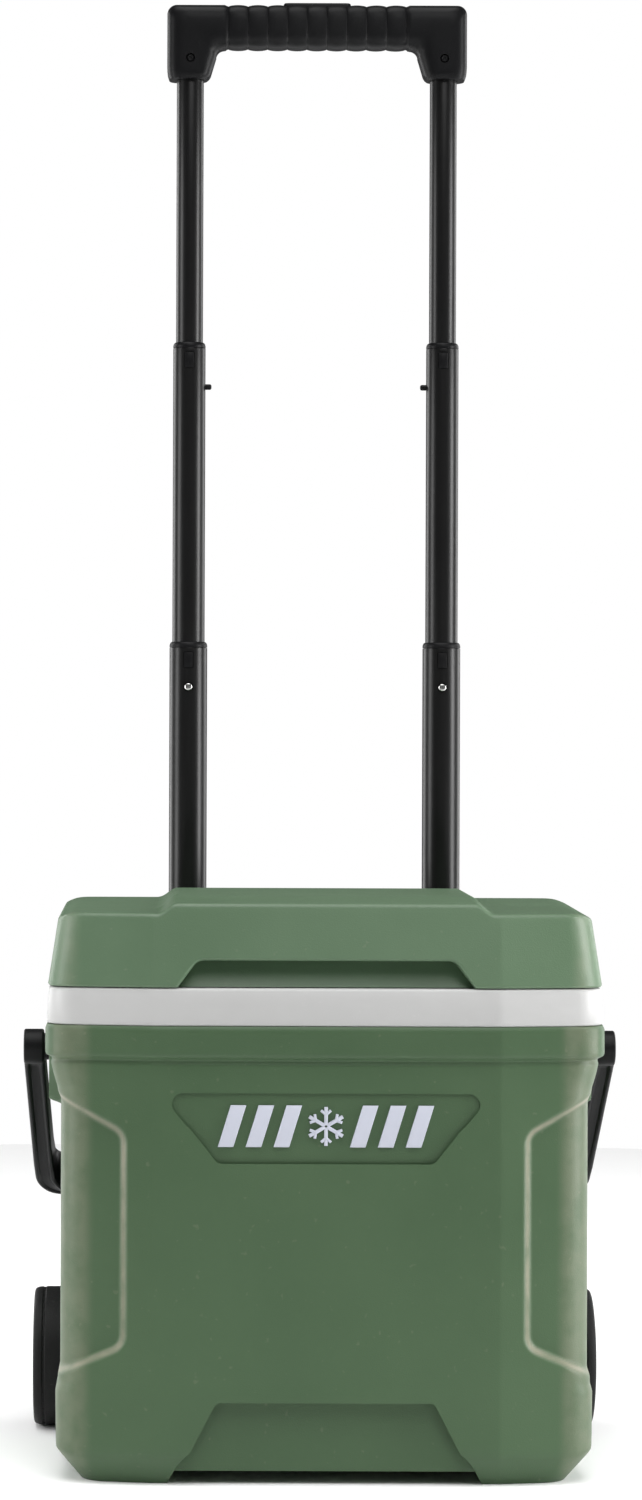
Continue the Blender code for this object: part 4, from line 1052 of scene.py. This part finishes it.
def bush(name, side, bore, radius, top, z):
    """The bush in a tube's mouth, with its skirt and its snap tab."""
    fit = 0.25
    skirt = radius - WALL - 0.2
    profile = [(bore + fit, top - 29), (skirt, top - 29), (skirt, top - 4), (radius, top - 4)]
    profile += [(radius, top - 2.4), (radius - 0.35, top - 1.2)]
    profile += [(radius - 0.9, top - 0.4), (radius - 1.5, top), (bore + fit, top)]
    ring = turned(name, softened(profile, 0.25, 2), (side * TUBE_SIDE, TUBE_DEPTH, 0), (0, 0, 1), black, 72)
    x = side * TUBE_SIDE
    face, root = TUBE_DEPTH - radius + 0.4, TUBE_DEPTH - bore - fit - 0.05
    sections = []
    for depth, inset in ((face, 0.6), (face + 0.4, 0.0), (root, 0.0)):
        w, h = 3.4 - inset, 6.0 - inset
        sections.append(np.array([(u, depth, v) for u, v in oblong(x - w, x + w, z - h, z + h)]))
    return combine(ring, "UNION", add_loft("tab", sections))


steel = metal("bright pin", (0.55, 0.55, 0.55), (0.78, 0.78, 0.76), 0.22, (600, 600, 600), 0.05)

# Level, body, radius, foot and mouth of each tube, its pin holes as (height, radius, facing), and
# its bush's bore, top and tab height.
tubes = [
    ("outer", "handle_low", OUTER_R, 268, 576.7, [(OUTER_PIN, 3.7, "front")], (MIDDLE_R, 581.0, 567.7)),
    ("middle", "handle_mid", MIDDLE_R, 536, 799, [(MIDDLE_PIN, 2.7, "centre"), (OUTER_PIN, 3.4, "front")],
     (INNER_R, 803.3, 790)),
    ("inner", "handle_top", INNER_R, 758.3, 1035, [(MIDDLE_PIN, 2.7, "centre")], None),
]
dark_pin = [(0, 10.45), (1.7, 10.45), (2.1, 10.9), (2.1, 15.4), (1.7, 16.2), (0.9, 16.5), (0, 16.5)]
bright_pin = [(0, 12.45), (2.5, 12.45), (2.8, 12.7), (2.8, 13.3), (2.2, 13.75), (1.2, 13.9), (0, 13.9)]
for word, side in SIDES:
    for level, body, radius, foot, mouth, holes, bush_sizes in tubes:
        piece = tube(f"tube_{level}_{word}", side, radius, foot, mouth)
        cutters = [window(side, radius, bush_sizes[2])] if bush_sizes else []
        cutters += [cross_hole(side, radius, *hole) for hole in holes]
        combine(piece, "DIFFERENCE", *cutters)
        part_of(piece, body, "black_coated_aluminium", f"{level}_tube_{word}")
        if bush_sizes:
            bore, top, z = bush_sizes
            ring = bush(f"bush_{level}_{word}", side, bore, radius, top, z)
            part_of(ring, body, "black_plastic", f"{level}_collar_{word}")
    for level, profile, rounding, z, axis, look in (
        ("middle", dark_pin, 0.3, MIDDLE_PIN, (-side, 0, 0), black),
        ("outer", bright_pin, 0.2, OUTER_PIN, (0, -1, 0), steel),
    ):
        spot = (side * TUBE_SIDE, TUBE_DEPTH, z)
        pin = turned(f"pin_{level}_{word}", softened(profile, rounding), spot, axis, look, 32)
        part_of(pin, f"{level}_pin_{word}", "bright_steel", f"{level}_lock_pin_{word}")

dress([f"{level}_glide_{word}" for level in ("middle", "inner") for word, _ in SIDES], black)


# ---- Grip ----
# Two black half-shells that clamp the inner tubes. The crossbar is fluted for
# the fingers and its ends turn down into broad sleeves.

BAR_TOP, BAR_UNDER, EAR_BOTTOM = 1053.8, 1021.1, 998.4
RIVET_HEIGHT = 1013
FLUTE_PITCH = 14.65


def grip_path():
    """Matching points of the grip's outer and inner edges in front view, left half to right."""
    outer = [(111.3, z) for z in np.linspace(EAR_BOTTOM, BAR_TOP - 7, 16)]
    inner = [(79.6 - 5.0 * s, EAR_BOTTOM + 16.6 * s) for s in np.linspace(0, 1, 16)]
    outer += arc(104.3, BAR_TOP - 7, 7, 9, 90, 9)
    inner += arc(68.3, 1014.4, 6.5, 12, 90, 9)
    outer += [(x, BAR_TOP) for x in np.linspace(103, 68.6, 14)]
    inner += [(x, BAR_UNDER) for x in np.linspace(68.2, 67.6, 14)]
    outer += [(x, BAR_TOP) for x in np.linspace(67, 0, 120)]
    inner += [(x, BAR_UNDER) for x in np.linspace(67, 0, 120)]
    path = list(zip(outer, inner))
    return path + [((-a[0], a[1]), (-b[0], b[1])) for a, b in reversed(path[:-1])]


def flute(x):
    """Height of the finger bulges over the bar, from 0 in a groove to 1 on a crest."""
    wave = abs(math.sin(math.pi * (x + FLUTE_PITCH / 2) / FLUTE_PITCH))
    return wave ** 0.55 if abs(x) < 5 * FLUTE_PITCH - FLUTE_PITCH / 2 + 1.2 else 1.0


def grip_section(steps=56):
    """A squarish oval, (tall, deep), with a fine groove where the two halves meet."""
    points = []
    for k in range(steps):
        angle = 2 * math.pi * k / steps
        c, s = math.cos(angle), math.sin(angle)
        tall = math.copysign(abs(c) ** 0.62, c)
        deep = math.copysign(abs(s) ** 0.62, s)
        if abs(deep) < 0.06:
            tall *= 0.985
        points.append((tall, deep))
    return points


def grip_rings():
    """The section swept from ear to ear, narrowed at the ends and in the flutes."""
    rings = []
    path = grip_path()
    for i, ((ox, oz), (ix, iz)) in enumerate(path):
        middle_x, middle_z = (ox + ix) / 2, (oz + iz) / 2
        half_x, half_z = (ox - ix) / 2, (oz - iz) / 2
        from_end = min(i, len(path) - 1 - i)
        close = (0.90, 0.965, 0.99)[from_end] if from_end < 3 else 1.0
        bulge = 0.0
        if oz > BAR_TOP - 0.01 and abs(middle_x) < 5 * FLUTE_PITCH:
            bulge = (flute(middle_x) - 1) * 1.25
        deep_half = 15.8 + bulge
        shrink = close * (1 + bulge / math.hypot(half_x, half_z))
        ring = []
        for tall, deep in grip_section():
            ring.append((middle_x + half_x * tall * shrink, TUBE_DEPTH + deep_half * deep * close,
                         middle_z + half_z * tall * shrink))
        rings.append(np.array(ring))
    return rings


grip = add_loft("grip", grip_rings(), black, smooth_angle=60)
inside = [(-66, 1026), (66, 1026), (66, 1035.4), (101, 1035.4), (101, 1048.5), (-101, 1048.5)]
inside += [(-101, 1035.4), (-66, 1035.4)]
room = prism("room", inside, TUBE_DEPTH - 7, TUBE_DEPTH + 7)
button_way = prism("button_way", oblong(-25.4, 25.4, 1040.5, 1060), TUBE_DEPTH - 8.4, TUBE_DEPTH + 8.4)
sockets = tube_rooms("socket", INNER_R + 0.3, 990, 1037)
rivet_ways = []
for word, side in SIDES:
    outline = [(side * TUBE_SIDE + u, v) for u, v in arc(0, RIVET_HEIGHT, 3.3, 0, 360, 28)[:-1]]
    rivet_ways.append(prism(f"rivet_way_{word}", outline, TUBE_DEPTH - 20, TUBE_DEPTH - 10.35))
combine(grip, "DIFFERENCE", room, button_way, *sockets, *rivet_ways, smooth_angle=50)
part_of(grip, "handle_top", "black_plastic", "grip_front", "grip_rear")

rivet_profile = [(0, 0), (3.0, 0), (3.0, 3.7), (2.5, 4.3), (1.6, 4.5), (1.2, 4.1), (0, 4.1)]
rivet = loose(turned("rivet", softened(rivet_profile, 0.2, 2), (0, 0, 0), (0, -1, 0), None, 28))
rivet_spots = [((side * TUBE_SIDE, TUBE_DEPTH - 10.4, RIVET_HEIGHT), (0, 0, 0)) for _, side in SIDES]
rivet_nodes = [f"grip_rivet_{word}" for word, _ in SIDES]
copies("grip_rivets", rivet, rivet_spots, "handle_top", black, "black_plastic", *rivet_nodes)

button_low, button_high = 1045.3, 1055.2
button_rings = []
for z, inset in ((button_low, 0.3), (button_low + 0.5, 0), (button_high - 1.6, 0), (button_high - 0.7, 0.35),
                 (button_high - 0.2, 0.9), (button_high, 1.9)):
    outline = rounded_oblong(25 - inset, 8 - inset, 2.4, 5)
    button_rings.append(np.array([(x, TUBE_DEPTH + y, z) for x, y in outline]))
part_of(add_loft("push_button", button_rings, black), "release", "black_plastic", "release_button")
dress(["button_spring", "release_yoke", "release_rod_left", "release_rod_right"], zinc)


# ---- Studio ----
# A round pale floor under a broad overhead light, with large soft lights at the
# sides, behind and in front, and a camera standing level before the cooler.

FLOOR_RADIUS = 2.3
floor_look, floor_shader = new_look("floor", (0.93, 0.93, 0.93))
floor_shader.inputs["Base Color"].default_value = (0.93, 0.93, 0.93, 1)
floor_shader.inputs["Roughness"].default_value = 0.9
floor_mesh = bpy.data.meshes.new("floor")
floor_rim = [(u, v, 0) for u, v in arc(0, 0, FLOOR_RADIUS, 0, 360, 96)[:-1]]
floor_mesh.from_pydata(floor_rim, [], [list(range(len(floor_rim)))])
floor_mesh.materials.append(floor_look)
floor = bpy.data.objects.new("floor", floor_mesh)
bpy.context.scene.collection.objects.link(floor)

world = bpy.data.worlds.new("studio")
world.use_nodes = True
bpy.context.scene.world = world
backdrop = world.node_tree.nodes["Background"]
backdrop.inputs["Color"].default_value = (1, 1, 1, 1)
light_path = world.node_tree.nodes.new("ShaderNodeLightPath")
strength = world.node_tree.nodes.new("ShaderNodeMapRange")
strength.inputs["To Min"].default_value = 0.09
strength.inputs["To Max"].default_value = 1.0
world.node_tree.links.new(light_path.outputs["Is Camera Ray"], strength.inputs["Value"])
world.node_tree.links.new(strength.outputs["Result"], backdrop.inputs["Strength"])


def soft_light(name, spot, target, size, power):
    """A rectangular softbox aimed at a point."""
    data = bpy.data.lights.new(name, "AREA")
    data.shape = "RECTANGLE"
    data.size, data.size_y = size
    data.energy = power
    lamp = bpy.data.objects.new(name, data)
    lamp.location = spot
    lamp.rotation_euler = (Vector(target) - Vector(spot)).to_track_quat("-Z", "Y").to_euler()
    bpy.context.scene.collection.objects.link(lamp)


sun = bpy.data.lights.new("overhead", "SUN")
sun.energy = 2.3
sun.angle = math.radians(50)
overhead = bpy.data.objects.new("overhead", sun)
overhead.rotation_euler = (math.radians(13), math.radians(-3), 0)
bpy.context.scene.collection.objects.link(overhead)
soft_light("left side", (-1.5, -0.3, 0.6), (0, 0, 0.4), (0.5, 1.4), 14)
soft_light("right side", (1.5, -0.35, 0.6), (0, 0, 0.4), (0.5, 1.4), 28)
soft_light("left rear", (-1.5, 1.3, 0.8), (0, 0, 0.5), (0.9, 1.6), 18)
soft_light("right rear", (1.5, 1.3, 0.8), (0, 0, 0.5), (0.9, 1.6), 15)
soft_light("front fill", (0.4, -2.4, 2.6), (0, 0, 0.4), (1.6, 1.0), 22)

camera_data = bpy.data.cameras.new("camera")
camera_data.sensor_fit = "VERTICAL"
camera_data.sensor_height = 36
camera_data.lens = 100.1
camera_data.shift_x = 0.0976
camera_data.shift_y = -0.002
camera = bpy.data.objects.new("camera", camera_data)
camera_spot = Matrix.Translation((-0.104, FRONT - 2.836, 0.503))
level_view, roll = Matrix.Rotation(math.radians(90), 4, "X"), Matrix.Rotation(math.radians(0.2), 4, "Z")
camera.matrix_world = camera_spot @ level_view @ roll
bpy.context.scene.collection.objects.link(camera)
bpy.context.scene.camera = camera
bpy.context.scene.view_settings.view_transform = "Standard"
